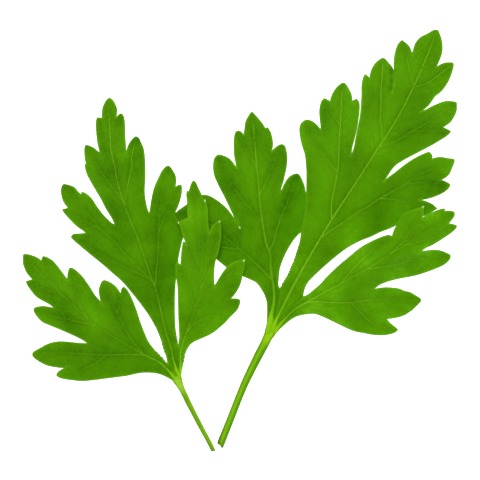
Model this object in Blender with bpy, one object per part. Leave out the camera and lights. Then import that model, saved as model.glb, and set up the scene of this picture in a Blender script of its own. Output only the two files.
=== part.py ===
"""Two cut sprigs of flat-leaved parsley laid together as a small bunch.

Each sprig is one grooved stem that forks into three lobed leaflets. Everything lies on the
plane z = 0 with the leaf blades arched above it, +Y towards the leaf tips and +Z up.
Numbers in the tables are millimetres. Each leaflet is described in its own flat frame:
the first number of a point runs across the leaflet to its right, the second runs along
its midrib from the fork of the sprig.
"""
import math

import bmesh
import bpy
import numpy as np
from mathutils import Vector
from mathutils.geometry import delaunay_2d_cdt

MM = 0.001

# Driving dimensions, in millimetres
BLADE_THICKNESS = 0.30
RIB_DEPTH_AT_FORK = 0.80
RIB_DEPTH_AT_TIP = 0.34
RIB_HALF_WIDTH = 0.55
RIB_STATION = 3.0
EDGE_STEP = 1.5
SHEET_SPACING = 2.9
SHEET_MARGIN = 1.1
SEAM_GAP = 0.17
FORK_BLEND = (6.0, 12.0)

LARGE_FORK = (6.3, -17.2)
SMALL_FORK = (-11.9, -27.2)
LARGE_FORK_HEIGHT = 2.75
SMALL_FORK_HEIGHT = 2.15
FORK_RISE = 0.05

STEM_POINTS = 16
STEM_STEP = 1.5
STEM_GROOVE_DEPTH = 0.16
STEM_GROOVE_WIDTH = 0.24

# Marks on a point of an outline
CORNER = 1
SEAM = 2

LARGE_MIDDLE_OUTLINE = (
    (0.5, 68), (-0.75, 66.3), (-1.6, 65), (-1.9, 63.6), (-1.65, 62.1), (-1.3, 61, CORNER),
    (-2, 61.8), (-2.9, 62.4), (-4.6, 62.75, CORNER), (-4.85, 61.7), (-4.6, 60), (-4, 58.4),
    (-3.3, 57.1), (-2.6, 55.9), (-1.9, 54.6), (-1.4, 53.3), (-1.25, 52.4, CORNER), (-1.6, 53.3),
    (-2.15, 54.7), (-2.95, 55.95), (-3.8, 56.9), (-4.9, 57.5), (-6.1, 57.8), (-6.8, 56.8),
    (-7.1, 55.3), (-6.95, 54), (-6.6, 53, CORNER), (-7.8, 53.2, CORNER), (-7.7, 52.2),
    (-7.2, 50.8), (-6.4, 49.3), (-5.5, 47.4), (-4.6, 45.4), (-3.9, 43.2), (-3.2, 41), (-2.6, 39.1),
    (-2.35, 37.4, CORNER), (-3, 38.9), (-3.5, 40.9), (-4.2, 43.3), (-4.95, 45.3), (-5.6, 46.8),
    (-6.2, 47.7), (-6.85, 48.05, CORNER), (-7.2, 47.6), (-7.5, 47.2, CORNER), (-8, 48),
    (-8.7, 48.7), (-9.6, 49.3), (-10.65, 49.65), (-11.3, 48.7), (-11.6, 47.2), (-11.5, 45.95),
    (-11.3, 45.1, CORNER), (-12.6, 45.1, CORNER), (-12.8, 44.4), (-12.55, 43.2), (-12, 42),
    (-11.2, 40.8), (-10.5, 39.8), (-10.1, 39.1, CORNER), (-11.2, 39.6), (-12.5, 39.85),
    (-13.6, 39.6), (-14.2, 38.6), (-14.05, 37.5), (-13.4, 36.4), (-12.4, 35.2), (-11.4, 34.2),
    (-10.5, 33.3), (-9.6, 32), (-8.75, 30.7), (-7.9, 29.2), (-7, 27.5), (-6.1, 25.8),
    (-5.25, 24.1), (-4.7, 22.2), (-4.2, 20.6), (-3.55, 19), (-3, 17.4), (-2.6, 15.7), (-2.3, 13.9),
    (-2, 11.9), (-1.9, 10), (-1.95, 8.4), (-2.05, 7.3, SEAM), (-1.4, 5.6, SEAM), (-0.8, 4, SEAM),
    (-0.35, 2.5, SEAM), (0.05, 1.2, SEAM), (0.75, 1.3, SEAM), (1.05, 3, SEAM), (1.4, 5, SEAM),
    (2.1, 6.8, SEAM), (2.75, 8.2, SEAM), (2.35, 9.2), (2.1, 10.6), (2.4, 12.2), (3, 14.2),
    (3.6, 15.9), (4.2, 17.5), (4.9, 19.3), (5.7, 21), (6.6, 22.5), (7.6, 23.9), (8.8, 25.3),
    (10, 27), (11.2, 28.4), (12.5, 30.1), (14.1, 31.6), (15.3, 33), (16.2, 34.2), (17, 35.3),
    (17.8, 36.65, CORNER), (16.4, 36.9), (15, 36.75), (13.75, 36.3, CORNER), (14.8, 37.2),
    (15.9, 38.2), (16.9, 39.4), (17.6, 40.6), (17.8, 42), (16.8, 42.15), (15.65, 41.95, CORNER),
    (16.2, 42.8), (16.55, 43.8), (16.5, 45), (16.1, 46.85), (15, 46.5), (13.6, 46), (12.7, 45.4),
    (12.1, 44.75, CORNER), (11.8, 45.4), (11, 45.7), (10.3, 45), (9.6, 44.1), (8.9, 43),
    (8.2, 41.7), (7.6, 40.4), (6.9, 38.7), (6.2, 37.2), (5.75, 36, CORNER), (5.9, 38.2),
    (6.1, 39.6), (6.6, 40.9), (7.3, 42.1), (8.2, 43.5), (9.1, 44.8), (10, 46.2), (11.1, 47.9),
    (12, 49.5), (12.6, 50.7), (12.75, 51.5, CORNER), (11.9, 51.45), (10.95, 51.4, CORNER),
    (11.4, 52.3), (11.8, 53.3), (11.9, 54.4), (11.7, 55.8), (11.1, 57.05), (9.9, 56.75),
    (8.8, 56.1), (7.9, 55.1), (7, 53.9), (6.3, 52.8), (5.55, 51.9, CORNER), (5.95, 52.9),
    (6.3, 53.9), (6.45, 55), (6.6, 56.2), (7, 57.1), (7.3, 58.2), (7.4, 59.4), (7.4, 60.8),
    (7.2, 62.1), (6.6, 63.65), (5.9, 63.4), (5.1, 62.85), (4.5, 62.1), (4, 61.2, CORNER),
    (3.9, 62.1), (3.8, 63.3), (3.55, 64.5), (3.1, 65.5), (2.4, 66.5), (1.5, 67.4),
)
LARGE_LEFT_OUTLINE = (
    (-0.38, 43), (-1.2, 42.1), (-1.75, 41.2), (-2, 40.3), (-2.15, 39.4), (-2.4, 38.5, CORNER),
    (-2.9, 39.2), (-3.5, 39.45), (-4, 39.1), (-4.3, 38.2), (-4.48, 36.9), (-4.56, 35.4),
    (-4.48, 34), (-4.35, 32.9), (-4.25, 31.9, CORNER), (-4.75, 32.8), (-5.2, 33.5), (-5.8, 34.15),
    (-6.7, 34.7), (-7.8, 35), (-8.45, 34.5), (-8.8, 33.7), (-8.95, 32.4), (-8.9, 31.3),
    (-8.6, 30.2), (-8.15, 28.9), (-7.5, 27.4), (-6.95, 26), (-6.35, 24.4), (-5.75, 22.9),
    (-5.2, 21.4), (-4.65, 20.15, CORNER), (-5.5, 21.8), (-6.35, 23.2), (-7.2, 24.4), (-8.1, 25.3),
    (-9, 26.1), (-10, 26.8), (-11.2, 27.2), (-12.4, 27.1), (-13.6, 26.5), (-14.8, 25.6),
    (-16, 24.9), (-17.1, 24.1), (-17.75, 23.2), (-17.5, 22.2), (-16.7, 21.2), (-15.4, 19.8),
    (-14, 18.4), (-12.6, 17), (-11.2, 15.7), (-9.7, 14.2), (-8.8, 13.3), (-7.8, 12.4),
    (-6.3, 11.3), (-4.7, 10.4), (-3.4, 9.7), (-2.3, 9.05), (-1.5, 8.4), (-0.95, 7.7), (-0.5, 6.8),
    (-0.25, 5.7), (-0.2, 4.4), (-0.25, 3), (-0.35, 1.6), (-0.55, 0.4, CORNER), (0.55, 0.55, SEAM),
    (0.95, 2.5, SEAM), (1.55, 4.6, SEAM), (2.4, 7.3, SEAM), (2.05, 8.2), (2.2, 9.2), (2.4, 10.5),
    (2.8, 11.9), (3.35, 13.1), (4.2, 14.6), (5.1, 15.9), (6, 17.05), (6.9, 17.9), (7.8, 18.6),
    (8.5, 19.9), (8.95, 21.4), (9.15, 23.2), (9.15, 25), (8.95, 26.6), (8.8, 27.7), (8.5, 28.7),
    (8.1, 29.55), (7.65, 29.95), (6.9, 29.85), (6.15, 29.5), (5.45, 28.8), (4.85, 27.9), (4.4, 27),
    (3.95, 26.35, CORNER), (4.25, 27.5), (4.7, 28.6), (5.1, 29.9), (5.5, 31.1), (5.75, 32.4),
    (5.9, 33.6), (5.8, 34.9), (5.55, 35.8), (5.05, 36.05), (4.2, 35.8), (3.5, 35.3),
    (2.9, 34.8, CORNER), (3.1, 35.5), (3.25, 36.3), (3.25, 37.2), (3.1, 38.3), (2.8, 39.1),
    (2.5, 39.65), (2.05, 39.5, CORNER), (1.85, 39.9), (1.4, 40.7), (0.85, 41.5), (0.25, 42.3),
)
LARGE_RIGHT_OUTLINE = (
    (-2.1, 43.1), (-2.45, 42.9), (-2.9, 42.3), (-3.25, 41.5, CORNER), (-3.65, 41.75),
    (-4.05, 40.6), (-4.2, 39.2), (-4.3, 37.9), (-4.15, 36.8, CORNER), (-4.9, 37.5), (-5.5, 37.85),
    (-6.15, 38.25), (-6.35, 37), (-6.65, 35.6), (-6.75, 34.4), (-6.35, 33.2), (-5.6, 32),
    (-4.8, 30.8), (-3.95, 29.85, CORNER), (-4.4, 29.5), (-4.75, 28.5), (-4.95, 27), (-5.05, 25.4),
    (-5.05, 23.8), (-4.85, 22), (-4.4, 19.8), (-4.05, 17.9), (-3.6, 16.2), (-3.15, 14.5),
    (-2.55, 12.7), (-2.15, 10.9), (-1.9, 9.3), (-1.95, 8.35, SEAM), (-1.45, 6.5, SEAM),
    (-0.75, 4.4, SEAM), (-0.3, 2.6, SEAM), (0, 1.2, SEAM), (1.35, 1.2, CORNER), (1.1, 2.7),
    (0.85, 4.3), (0.82, 5.7), (1.1, 6.9), (1.55, 8), (2.3, 9.15), (3.8, 10.4), (5.3, 11.45),
    (7.15, 12.75), (8.8, 14), (10.2, 15.6), (11.5, 17.2), (12.4, 18.7), (12.95, 20.1),
    (13.12, 21.1), (12.95, 21.8), (11.85, 21.45), (10.8, 21.05), (9.95, 20.9, CORNER),
    (10.3, 21.8), (10.75, 23.1), (11, 24.6), (10.85, 26.3), (10.5, 27.7), (10, 28.8), (8.75, 28.3),
    (7.6, 27.6), (6.7, 26.65), (5.85, 25.95), (5.05, 24.9), (4.35, 23.7), (3.85, 22.5),
    (3.45, 21.4, CORNER), (3.25, 23.1), (3.5, 24.9), (4.05, 27), (4.65, 28.8), (5.2, 30.6),
    (5.6, 32.7), (5.9, 34.5), (6, 36), (5.85, 37.2), (5.45, 38), (5, 38.25), (4.4, 37.9),
    (3.7, 37.4), (2.95, 36.6), (2.3, 35.4), (1.85, 34.3), (1.45, 33.4, CORNER), (1.28, 34.6),
    (1.4, 36), (1.35, 37.5), (1.25, 39.2), (1.1, 40.7), (0.85, 41.7), (0.6, 42.25), (0.2, 42.05),
    (-0.2, 41.6), (-0.72, 41, CORNER), (-1.05, 41.8), (-1.5, 42.7),
)
SMALL_MIDDLE_OUTLINE = (
    (-0.05, 57.4), (-0.8, 56.9), (-1.5, 56.05), (-1.9, 55.2), (-2.15, 54.3), (-2.3, 53.9, CORNER),
    (-2.7, 54.05), (-3.2, 54.2, CORNER), (-3.55, 53.6), (-3.85, 52.5), (-4.1, 51.2), (-4.3, 49.8),
    (-4.38, 48.5), (-4.4, 47.1, CORNER), (-4.9, 47.8), (-5.4, 48.5), (-6, 49), (-6.8, 49.4),
    (-7.15, 48.9), (-7.4, 48), (-7.57, 47), (-7.62, 45.9, CORNER), (-7.9, 45.75, CORNER),
    (-8, 44.8), (-7.95, 43.7), (-7.75, 42.7), (-7.3, 41.2), (-6.8, 39.5), (-6.4, 38), (-6, 36.3),
    (-5.5, 34.6), (-5.15, 33.4), (-5.05, 32.4, CORNER), (-5.7, 33.1), (-6.35, 34.1), (-6.9, 35.1),
    (-7.4, 36.2), (-7.8, 37.3), (-8.2, 38.5), (-8.75, 39.5), (-9.3, 40.15), (-9.85, 40.55, CORNER),
    (-10.2, 40.1, CORNER), (-10.6, 40.8), (-11.05, 41.7), (-11.7, 42.3), (-12.4, 42.7),
    (-13.05, 42.95), (-13.55, 42.5), (-13.9, 41.5), (-13.97, 40.2), (-13.7, 39),
    (-13.3, 38.2, CORNER), (-13.9, 38.1), (-14.5, 38.15), (-14.35, 37.5), (-13.9, 36.5),
    (-13.1, 35.1), (-12.2, 33.8), (-11.4, 32.9), (-11.1, 32.4, CORNER), (-11.8, 32.45),
    (-12.8, 32.65), (-13.7, 32.75), (-14.15, 32.4), (-13.6, 31.3), (-12.75, 30.1), (-11.9, 28.9),
    (-10.7, 27.3), (-9.3, 25.4), (-8, 23.5), (-6.8, 21.8), (-5.9, 20.2), (-5, 18.3), (-4, 16),
    (-3.05, 13.6), (-2.4, 11.5), (-2, 9.5), (-1.8, 7.5), (-1.72, 5.6), (-1.65, 4.2),
    (-1.8, 2.8, SEAM), (-1.35, 1.9, SEAM), (-0.95, 1, SEAM), (-0.6, 0.2, SEAM), (-0.1, 0.2, SEAM),
    (0.1, 1.5, SEAM), (0.45, 3.2, SEAM), (1.05, 5.6, SEAM), (1.25, 7.8), (1.5, 9.9), (2, 12.3),
    (2.75, 15.2), (3.5, 17.7), (4, 19), (4.6, 20.5), (5.2, 22), (5.5, 23), (6.2, 24.5), (7, 26),
    (7.65, 27.2), (7.8, 28.4), (7.5, 29.7), (7.1, 30.9), (7.2, 32), (8.05, 33.1), (8.85, 34.4),
    (9.4, 35.5), (9.7, 36.5), (9.65, 37), (9, 37), (8.4, 36.75, CORNER), (8.75, 37.6),
    (9.03, 38.7), (8.9, 39.8), (8.6, 40.7), (8.1, 41.35), (7.5, 41.15), (6.8, 40.7), (6, 39.8),
    (5.05, 38.7), (4.3, 37.6), (3.6, 36.2), (2.9, 34.7), (2.45, 33.6), (2.05, 32.9, CORNER),
    (1.95, 34.4), (2, 35.8), (2.2, 37.2), (2.75, 39.1), (3.3, 41), (3.7, 42.7), (4.05, 44.3),
    (4.2, 45.8), (4, 47.2), (3.8, 48.2), (3.35, 48.6), (2.75, 48.4), (2.15, 47.95), (1.5, 47.3),
    (1, 46.5), (0.56, 45.8, CORNER), (0.8, 46.9), (1.03, 48), (1.3, 49.5), (1.6, 50.8),
    (1.9, 52.2), (1.92, 53.3), (1.65, 53.8), (1.2, 53.7), (0.8, 53.5), (0.38, 53.2, CORNER),
    (0.65, 53.8), (0.92, 54.5), (1.02, 55.2), (0.85, 56.2), (0.5, 57.1),
)
SMALL_LEFT_OUTLINE = (
    (0, 39.7), (-1, 39), (-1.7, 38.1), (-2.2, 37.2), (-2.5, 36.2), (-2.65, 35.2, CORNER),
    (-3.2, 35.5), (-3.8, 35.9), (-4.15, 35.4), (-4.5, 34.5), (-4.8, 33.3), (-4.9, 32),
    (-4.7, 30.5), (-4.5, 29.3), (-4.55, 28.2, CORNER), (-5, 29), (-5.45, 29.9), (-6.2, 30.8),
    (-7.2, 31.4), (-7.7, 30.8), (-8.05, 29.8), (-8.2, 28.6), (-7.9, 27.2), (-7.4, 25.3),
    (-6.9, 23.5), (-6.5, 21.8), (-6.15, 20.1), (-6, 18.5, CORNER), (-6.7, 19.4), (-7.5, 20.7),
    (-8.3, 21.9), (-9.1, 23.1), (-10, 24.05), (-11.1, 24.85), (-12.5, 25.5), (-13.6, 26),
    (-14.4, 26.15), (-14.85, 25.7), (-14.9, 24.7), (-14.8, 23.5), (-14.4, 22.1), (-13.8, 20.9),
    (-13.2, 19.9), (-12.5, 19.1, CORNER), (-13.3, 19.45), (-14.2, 19.8), (-14.95, 19.7),
    (-14.95, 18.9), (-14.5, 17.8), (-13.6, 16.3), (-12.5, 14.7), (-11.1, 13.2), (-9.7, 11.8),
    (-8.2, 10.3), (-6.6, 8.7), (-5.1, 7.45), (-3.9, 6.3), (-2.95, 5), (-2.2, 3.7), (-1.8, 2.35),
    (-1.65, 1.5), (-1.62, 0.9, CORNER), (-0.45, 0.75, SEAM), (-0.13, 1.37, SEAM),
    (0.11, 2.33, SEAM), (0.31, 3.31, SEAM), (0.6, 4.7), (0.76, 5.9), (1.05, 7.4), (1.4, 8.8),
    (2.1, 10.3), (3, 11.8), (3.85, 13.2), (4.9, 14.7), (5.8, 16.2), (6.6, 17.6), (7.15, 19),
    (7.2, 19.75), (6.8, 19.9), (6.2, 19.6), (5.5, 19.2, CORNER), (5.85, 19.7), (6.15, 20.5),
    (6.33, 21.5), (6.25, 22.6), (6, 23.5), (5.55, 23.9), (4.6, 23.7), (3.85, 23.4), (3, 22.6),
    (2.3, 21.8), (1.85, 21.05, CORNER), (2.2, 22.4), (2.5, 23.7), (3, 25), (3.4, 26.3),
    (3.8, 27.6), (4, 29), (3.94, 30.1), (3.6, 30.65), (2.8, 30.4), (2.1, 30), (1.5, 29.55, CORNER),
    (1.75, 30.5), (2.1, 31.7), (2.5, 33.2), (2.7, 34.6), (2.5, 35.7), (2.2, 36.35), (1.75, 36.2),
    (1.33, 36.1, CORNER), (1.3, 37.1), (1.06, 38.1), (0.6, 39.1),
)
SMALL_RIGHT_OUTLINE = (
    (0.85, 39.15), (0.5, 38.6), (0.25, 37.7), (0, 36.85, CORNER), (-0.35, 37.15, CORNER),
    (-0.4, 36.3), (-0.2, 35.2), (-0.12, 34), (-0.05, 32.9), (0.1, 31.7, CORNER), (-0.6, 31.35),
    (-1.25, 31), (-1.8, 30.6), (-1.4, 30), (-1.05, 29.2), (-0.85, 28.4), (-0.45, 27.5),
    (-0.1, 26.8), (0.15, 26.1, CORNER), (-0.5, 26.85), (-0.75, 25.6), (-0.85, 24.2),
    (-0.9, 22.2, CORNER), (-1.3, 22.45), (-1.75, 22.6), (-1.85, 21.4), (-1.75, 20.3), (-1.5, 19.2),
    (-1.25, 17.8), (-1.05, 15.6), (-0.92, 13.7), (-0.8, 11.6), (-0.6, 9.5), (-0.45, 7.6),
    (-0.5, 5.6, SEAM), (-0.35, 4.2, SEAM), (-0.35, 2.6, SEAM), (-0.3, 1.2, SEAM),
    (0.35, 1.2, CORNER), (0.5, 2.4), (0.65, 3.6), (0.85, 4.6), (1.15, 5.5), (1.6, 6.3),
    (2.3, 6.95), (3.2, 7.45), (4.2, 7.95), (5.2, 8.45), (6.3, 9.15), (7.4, 10.1), (8.4, 11.1),
    (9.3, 12.2), (10.2, 13.15), (10.9, 14.1), (11.2, 15), (11.2, 15.75), (10.6, 15.95),
    (9.3, 15.9, CORNER), (10.1, 16.9), (10.75, 18), (11.2, 19.2), (11.45, 20.6), (11.75, 22),
    (11.95, 23), (11.7, 23.8), (10.7, 23.6), (9.6, 23.15), (8.6, 22.4), (7.6, 21.1), (6.8, 19.7),
    (6, 18.1, CORNER), (5.8, 19.8), (5.75, 21.4), (5.85, 22.8), (6.15, 24.1), (6.5, 25.5),
    (6.75, 27), (6.85, 28.6), (6.75, 30.2), (6.4, 31.4), (5.7, 30.9), (5.1, 30.3), (4.75, 29.5),
    (4.5, 28.8, CORNER), (4.3, 29.8), (4.15, 31), (4, 32.4), (3.9, 33.6), (3.65, 34.6),
    (3.25, 35.5), (2.95, 35.7), (2.65, 36.2), (2.2, 37.1), (1.7, 38), (1.3, 38.8),
)

# Midribs: (across, along)
LARGE_MIDDLE_RIB = ((0.35, 1.6), (0.1, 5), (0.1, 15), (0.35, 24), (0.9, 32), (1.45, 40), (1.95, 46),
                    (2.05, 52), (1.75, 60), (1.1, 65))
LARGE_LEFT_RIB = ((0.2, 0.9), (0.8, 4.3), (1.0, 8.7), (0.9, 14.6), (0.1, 19), (-0.24, 26), (-0.3, 34),
                  (-0.35, 40.5))
LARGE_RIGHT_RIB = ((0.55, 1.6), (0.1, 3.8), (-0.6, 6), (-0.7, 12), (-0.7, 20), (-1, 27), (-1.35, 33),
                   (-1.6, 40.5))
SMALL_MIDDLE_RIB = ((-0.38, 0.6), (-0.4, 4), (-0.5, 10), (-0.45, 17), (-1, 25), (-1.9, 33),
                    (-2.4, 40), (-2.1, 47), (-0.7, 55))
SMALL_LEFT_RIB = ((-0.75, 1.5), (-0.4, 3), (-0.5, 6), (-1.15, 9.4), (-1.9, 15.5), (-2.3, 20),
                  (-1.7, 27), (-1, 32.6), (-0.2, 37.5))
SMALL_RIGHT_RIB = ((0.03, 1.5), (0.15, 4), (0.5, 7), (1.4, 11), (2.3, 16), (2.9, 21), (2.6, 27),
                   (1.6, 33), (1, 37.2))

# Heights of the upper surface above the table: (across, along, height)
LARGE_MIDDLE_HEIGHTS = (
    (0, 10, 3.8), (0, 25, 5.2), (1, 40, 6.2), (1.9, 51, 5.2), (1.6, 60, 3), (0.5, 68, 0.4),
    (-2, 12, 3.8), (-4.5, 22, 4.4), (-9, 31, 4), (-14, 38.3, 1.5), (-10.6, 49.4, 1.3),
    (-12.5, 44.5, 1.5), (-4, 48, 4.6), (-6.3, 57.3, 1.9), (-4.6, 62.3, 1.9), (-7.5, 51, 2.7),
    (4.2, 17.5, 4.1), (8.8, 25.5, 3.3), (12.5, 30.5, 1.7), (15, 33, 1), (17.6, 36.5, 0.36),
    (17.5, 41.8, 0.9), (16, 46.5, 0.45), (12.4, 51.2, 1.7), (11, 56.7, 1.2), (6.6, 63.3, 1.4),
    (5, 46, 4.9), (9.5, 38, 3.8), (7.3, 59, 2.2),
)
LARGE_LEFT_HEIGHTS = (
    (1, 9, 3.6), (0.9, 14.5, 4.3), (0, 22, 4.8), (-0.2, 30, 4.3), (-0.3, 37, 2.4), (-0.4, 43, 0.4),
    (4.5, 15.5, 2.8), (7.8, 18.6, 2.1), (9.1, 23.5, 1.8), (7.7, 29.7, 1.4), (4.2, 22, 3.5),
    (5, 35.8, 1.5), (5.8, 32, 1.6), (-7.9, 34.7, 1.2), (-8.8, 31, 1.6), (-3.6, 39.2, 1.5),
    (-4.8, 26, 3.6), (-4.7, 20.2, 2.8), (-2.3, 9.2, 2.8), (-3.4, 12.5, 2.5), (-6, 16.5, 1.7),
    (-9, 19, 1.1), (-12, 22, 0.7), (-15, 22.6, 0.5), (-17.6, 23.2, 0.36), (-5.5, 11, 1.5),
    (-7.8, 12.5, 1.1), (-9.7, 14.3, 0.85), (-13, 17.5, 0.5), (-8, 25.2, 1.2), (-11, 27, 0.7),
    (-14, 26.1, 0.5),
)
LARGE_RIGHT_HEIGHTS = (
    (0, 6, 3.5), (-0.7, 12, 4.4), (-0.7, 20, 5.1), (-1, 28, 4.9), (-1.4, 35, 3.8), (-2, 43, 1.5),
    (-2.5, 13, 4.1), (-5, 22, 3.8), (-4.9, 28, 3.6), (-6.7, 34.5, 3), (-6.1, 38, 2.2),
    (-4.2, 37.5, 2.7), (-4, 32, 4), (2.6, 9.4, 3.3), (3.8, 10.5, 3), (8, 13.5, 1.8),
    (12.3, 18.7, 0.8), (12.9, 21.6, 0.36), (10, 28.6, 0.36), (6, 20, 2.7), (5.8, 25.8, 1.7),
    (5, 38.1, 0.4), (5.8, 34.5, 1), (3, 30, 2.5), (0.6, 42, 1), (2, 34, 2.4),
)
SMALL_MIDDLE_HEIGHTS = (
    (-0.5, 8, 2.8), (-0.5, 18, 4), (-1, 25, 4.6), (-2, 36, 4.8), (-2.2, 46, 3.2), (-1, 53, 1.6),
    (0, 57.4, 0.36), (-3, 13.8, 2.7), (-6, 20.6, 2.5), (-10, 26.5, 1.7), (-14, 32.4, 0.9),
    (-14.3, 38, 0.8), (-13, 42.8, 0.36), (-9.8, 40.3, 1.5), (-8, 33.5, 2.8), (-7.9, 45, 1.4),
    (-6.8, 49.2, 1.1), (-3.2, 54, 1.3), (2.4, 14, 2.5), (4.8, 21, 1.9), (7.6, 28.2, 1.6),
    (7.1, 31.8, 1.6), (9.6, 36.7, 1), (8, 41.1, 0.4), (4.5, 33, 3), (4.1, 45.5, 1.5),
    (3.3, 48.4, 1.1), (1.7, 53.6, 1.2), (1.6, 10, 2.7),
)
SMALL_LEFT_HEIGHTS = (
    (-0.5, 6, 2.7), (-1.2, 10, 3.3), (-2.2, 18, 4), (-1.8, 26, 3.3), (-1.2, 32, 2),
    (0, 39.6, 0.34), (-4, 6.5, 2.2), (-7, 9.2, 1.9), (-12, 14.2, 1.2), (-14.9, 19.4, 0.34),
    (-14.6, 25.8, 0.34), (-10, 23.8, 1.4), (-8, 17.5, 2.5), (-8, 30, 1), (-7.2, 31.2, 0.9),
    (-3.9, 35.6, 1), (1.5, 9, 2.7), (4, 13.5, 2), (7.1, 19.4, 1.1), (5.5, 23.7, 1),
    (2.6, 19.5, 2.4), (3.9, 29.3, 1.1), (2.6, 35, 1), (1.2, 8.2, 2.7),
)
SMALL_RIGHT_HEIGHTS = (
    (0.2, 5, 2.6), (1.2, 10.5, 3.3), (2.6, 16, 4), (3, 22, 4.1), (2.5, 30, 3), (0.9, 39, 1.7),
    (4, 8, 3), (9.2, 12.2, 2.4), (11, 15.5, 2.4), (7, 16, 3.6), (11.7, 23.2, 3.3), (9.5, 20, 3.6),
    (6.5, 31, 2.2), (5.8, 26, 3.5), (-1.7, 30.5, 2.8), (-0.8, 25.5, 3.6), (-1.7, 22.4, 3.5),
    (-0.9, 14, 3.3), (-0.3, 37, 1.8), (3.3, 35.3, 1.8), (0.1, 32, 2.8),
)

# Stems: (across, along, width, height of the axis)
LARGE_STEM = ((0.5, 0.72, 0.55, 2.35), (0.56, 0.2, 1.5, 2.32), (0.58, -0.6, 2.3, 2.25),
              (0.5, -2.2, 1.66, 2.05), (0.3, -4, 1.58, 1.75), (0.15, -6.1, 1.52, 1.42),
              (-0.02, -9.6, 1.38, 0.98), (-0.12, -12.9, 1.22, 0.75), (-0.02, -16.2, 1.18, 0.65),
              (0.17, -20.1, 1.22, 0.62), (0.33, -23.4, 1.22, 0.62), (0.46, -26, 1.2, 0.62))
SMALL_STEM = ((-0.55, 0, 0.45, 1.8), (-0.64, -0.4, 1, 1.77), (-0.72, -0.95, 1.4, 1.7),
              (-0.6, -2.1, 1.18, 1.55), (-0.58, -3.35, 0.99, 1.3), (-0.54, -5.3, 0.91, 0.95),
              (-0.44, -7.5, 0.82, 0.65), (-0.33, -9.65, 0.76, 0.46), (-0.2, -11.8, 0.74, 0.38),
              (-0.05, -14, 0.7, 0.35), (0.05, -16.4, 0.68, 0.35))

# name: (fork, turn of the midrib clockwise from +Y, outline, rib, heights, height at the fork, colour)
LEAFLETS = {
    "large_sprig_left_leaflet": (LARGE_FORK, -4.6, LARGE_LEFT_OUTLINE, LARGE_LEFT_RIB,
                                 LARGE_LEFT_HEIGHTS, LARGE_FORK_HEIGHT, (0.066, 0.254, 0.003)),
    "large_sprig_middle_leaflet": (LARGE_FORK, 28.8, LARGE_MIDDLE_OUTLINE, LARGE_MIDDLE_RIB,
                                   LARGE_MIDDLE_HEIGHTS, LARGE_FORK_HEIGHT, (0.082, 0.287, 0.003)),
    "large_sprig_right_leaflet": (LARGE_FORK, 61.0, LARGE_RIGHT_OUTLINE, LARGE_RIGHT_RIB,
                                  LARGE_RIGHT_HEIGHTS, LARGE_FORK_HEIGHT, (0.086, 0.299, 0.003)),
    "small_sprig_left_leaflet": (SMALL_FORK, -52.4, SMALL_LEFT_OUTLINE, SMALL_LEFT_RIB,
                                 SMALL_LEFT_HEIGHTS, SMALL_FORK_HEIGHT, (0.069, 0.266, 0.003)),
    "small_sprig_middle_leaflet": (SMALL_FORK, -14.4, SMALL_MIDDLE_OUTLINE, SMALL_MIDDLE_RIB,
                                   SMALL_MIDDLE_HEIGHTS, SMALL_FORK_HEIGHT, (0.071, 0.264, 0.003)),
    "small_sprig_right_leaflet": (SMALL_FORK, 2.7, SMALL_RIGHT_OUTLINE, SMALL_RIGHT_RIB,
                                  SMALL_RIGHT_HEIGHTS, SMALL_FORK_HEIGHT, (0.089, 0.296, 0.003)),
}
# name: (fork, turn of the stem clockwise from +Y, stations, colour)
STEMS = {
    "large_sprig_stem": (LARGE_FORK, 24.0, LARGE_STEM, (0.145, 0.371, 0.004)),
    "small_sprig_stem": (SMALL_FORK, -24.0, SMALL_STEM, (0.178, 0.397, 0.004)),
}


def clear_scene():
    """Remove every object of the scene."""
    for obj in list(bpy.data.objects):
        bpy.data.objects.remove(obj, do_unlink=True)


def catmull_rom(p0, p1, p2, p3, share):
    """Point between p1 and p2 on the centripetal curve through four points."""
    t1 = max(np.linalg.norm(p1 - p0), 1e-6) ** 0.5
    t2 = t1 + max(np.linalg.norm(p2 - p1), 1e-6) ** 0.5
    t3 = t2 + max(np.linalg.norm(p3 - p2), 1e-6) ** 0.5
    t = t1 + (t2 - t1) * share
    a1 = (t1 - t) / t1 * p0 + t / t1 * p1
    a2 = (t2 - t) / (t2 - t1) * p1 + (t - t1) / (t2 - t1) * p2
    a3 = (t3 - t) / (t3 - t2) * p2 + (t - t2) / (t3 - t2) * p3
    b1 = (t2 - t) / t2 * a1 + t / t2 * a2
    b2 = (t3 - t) / (t3 - t1) * a2 + (t - t1) / (t3 - t1) * a3
    return (t2 - t) / (t2 - t1) * b1 + (t - t1) / (t2 - t1) * b2


def smooth_line(points, step):
    """Open curve through rows of numbers, sampled about every step."""
    rows = np.array(points, float)
    rows = np.vstack([2 * rows[0] - rows[1], rows, 2 * rows[-1] - rows[-2]])
    samples = []
    for i in range(1, len(rows) - 2):
        parts = max(1, round(float(np.linalg.norm(rows[i + 1][:2] - rows[i][:2])) / step))
        for k in range(parts):
            samples.append(catmull_rom(*rows[i - 1:i + 3], k / parts))
    samples.append(rows[-2])
    return np.array(samples)


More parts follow.
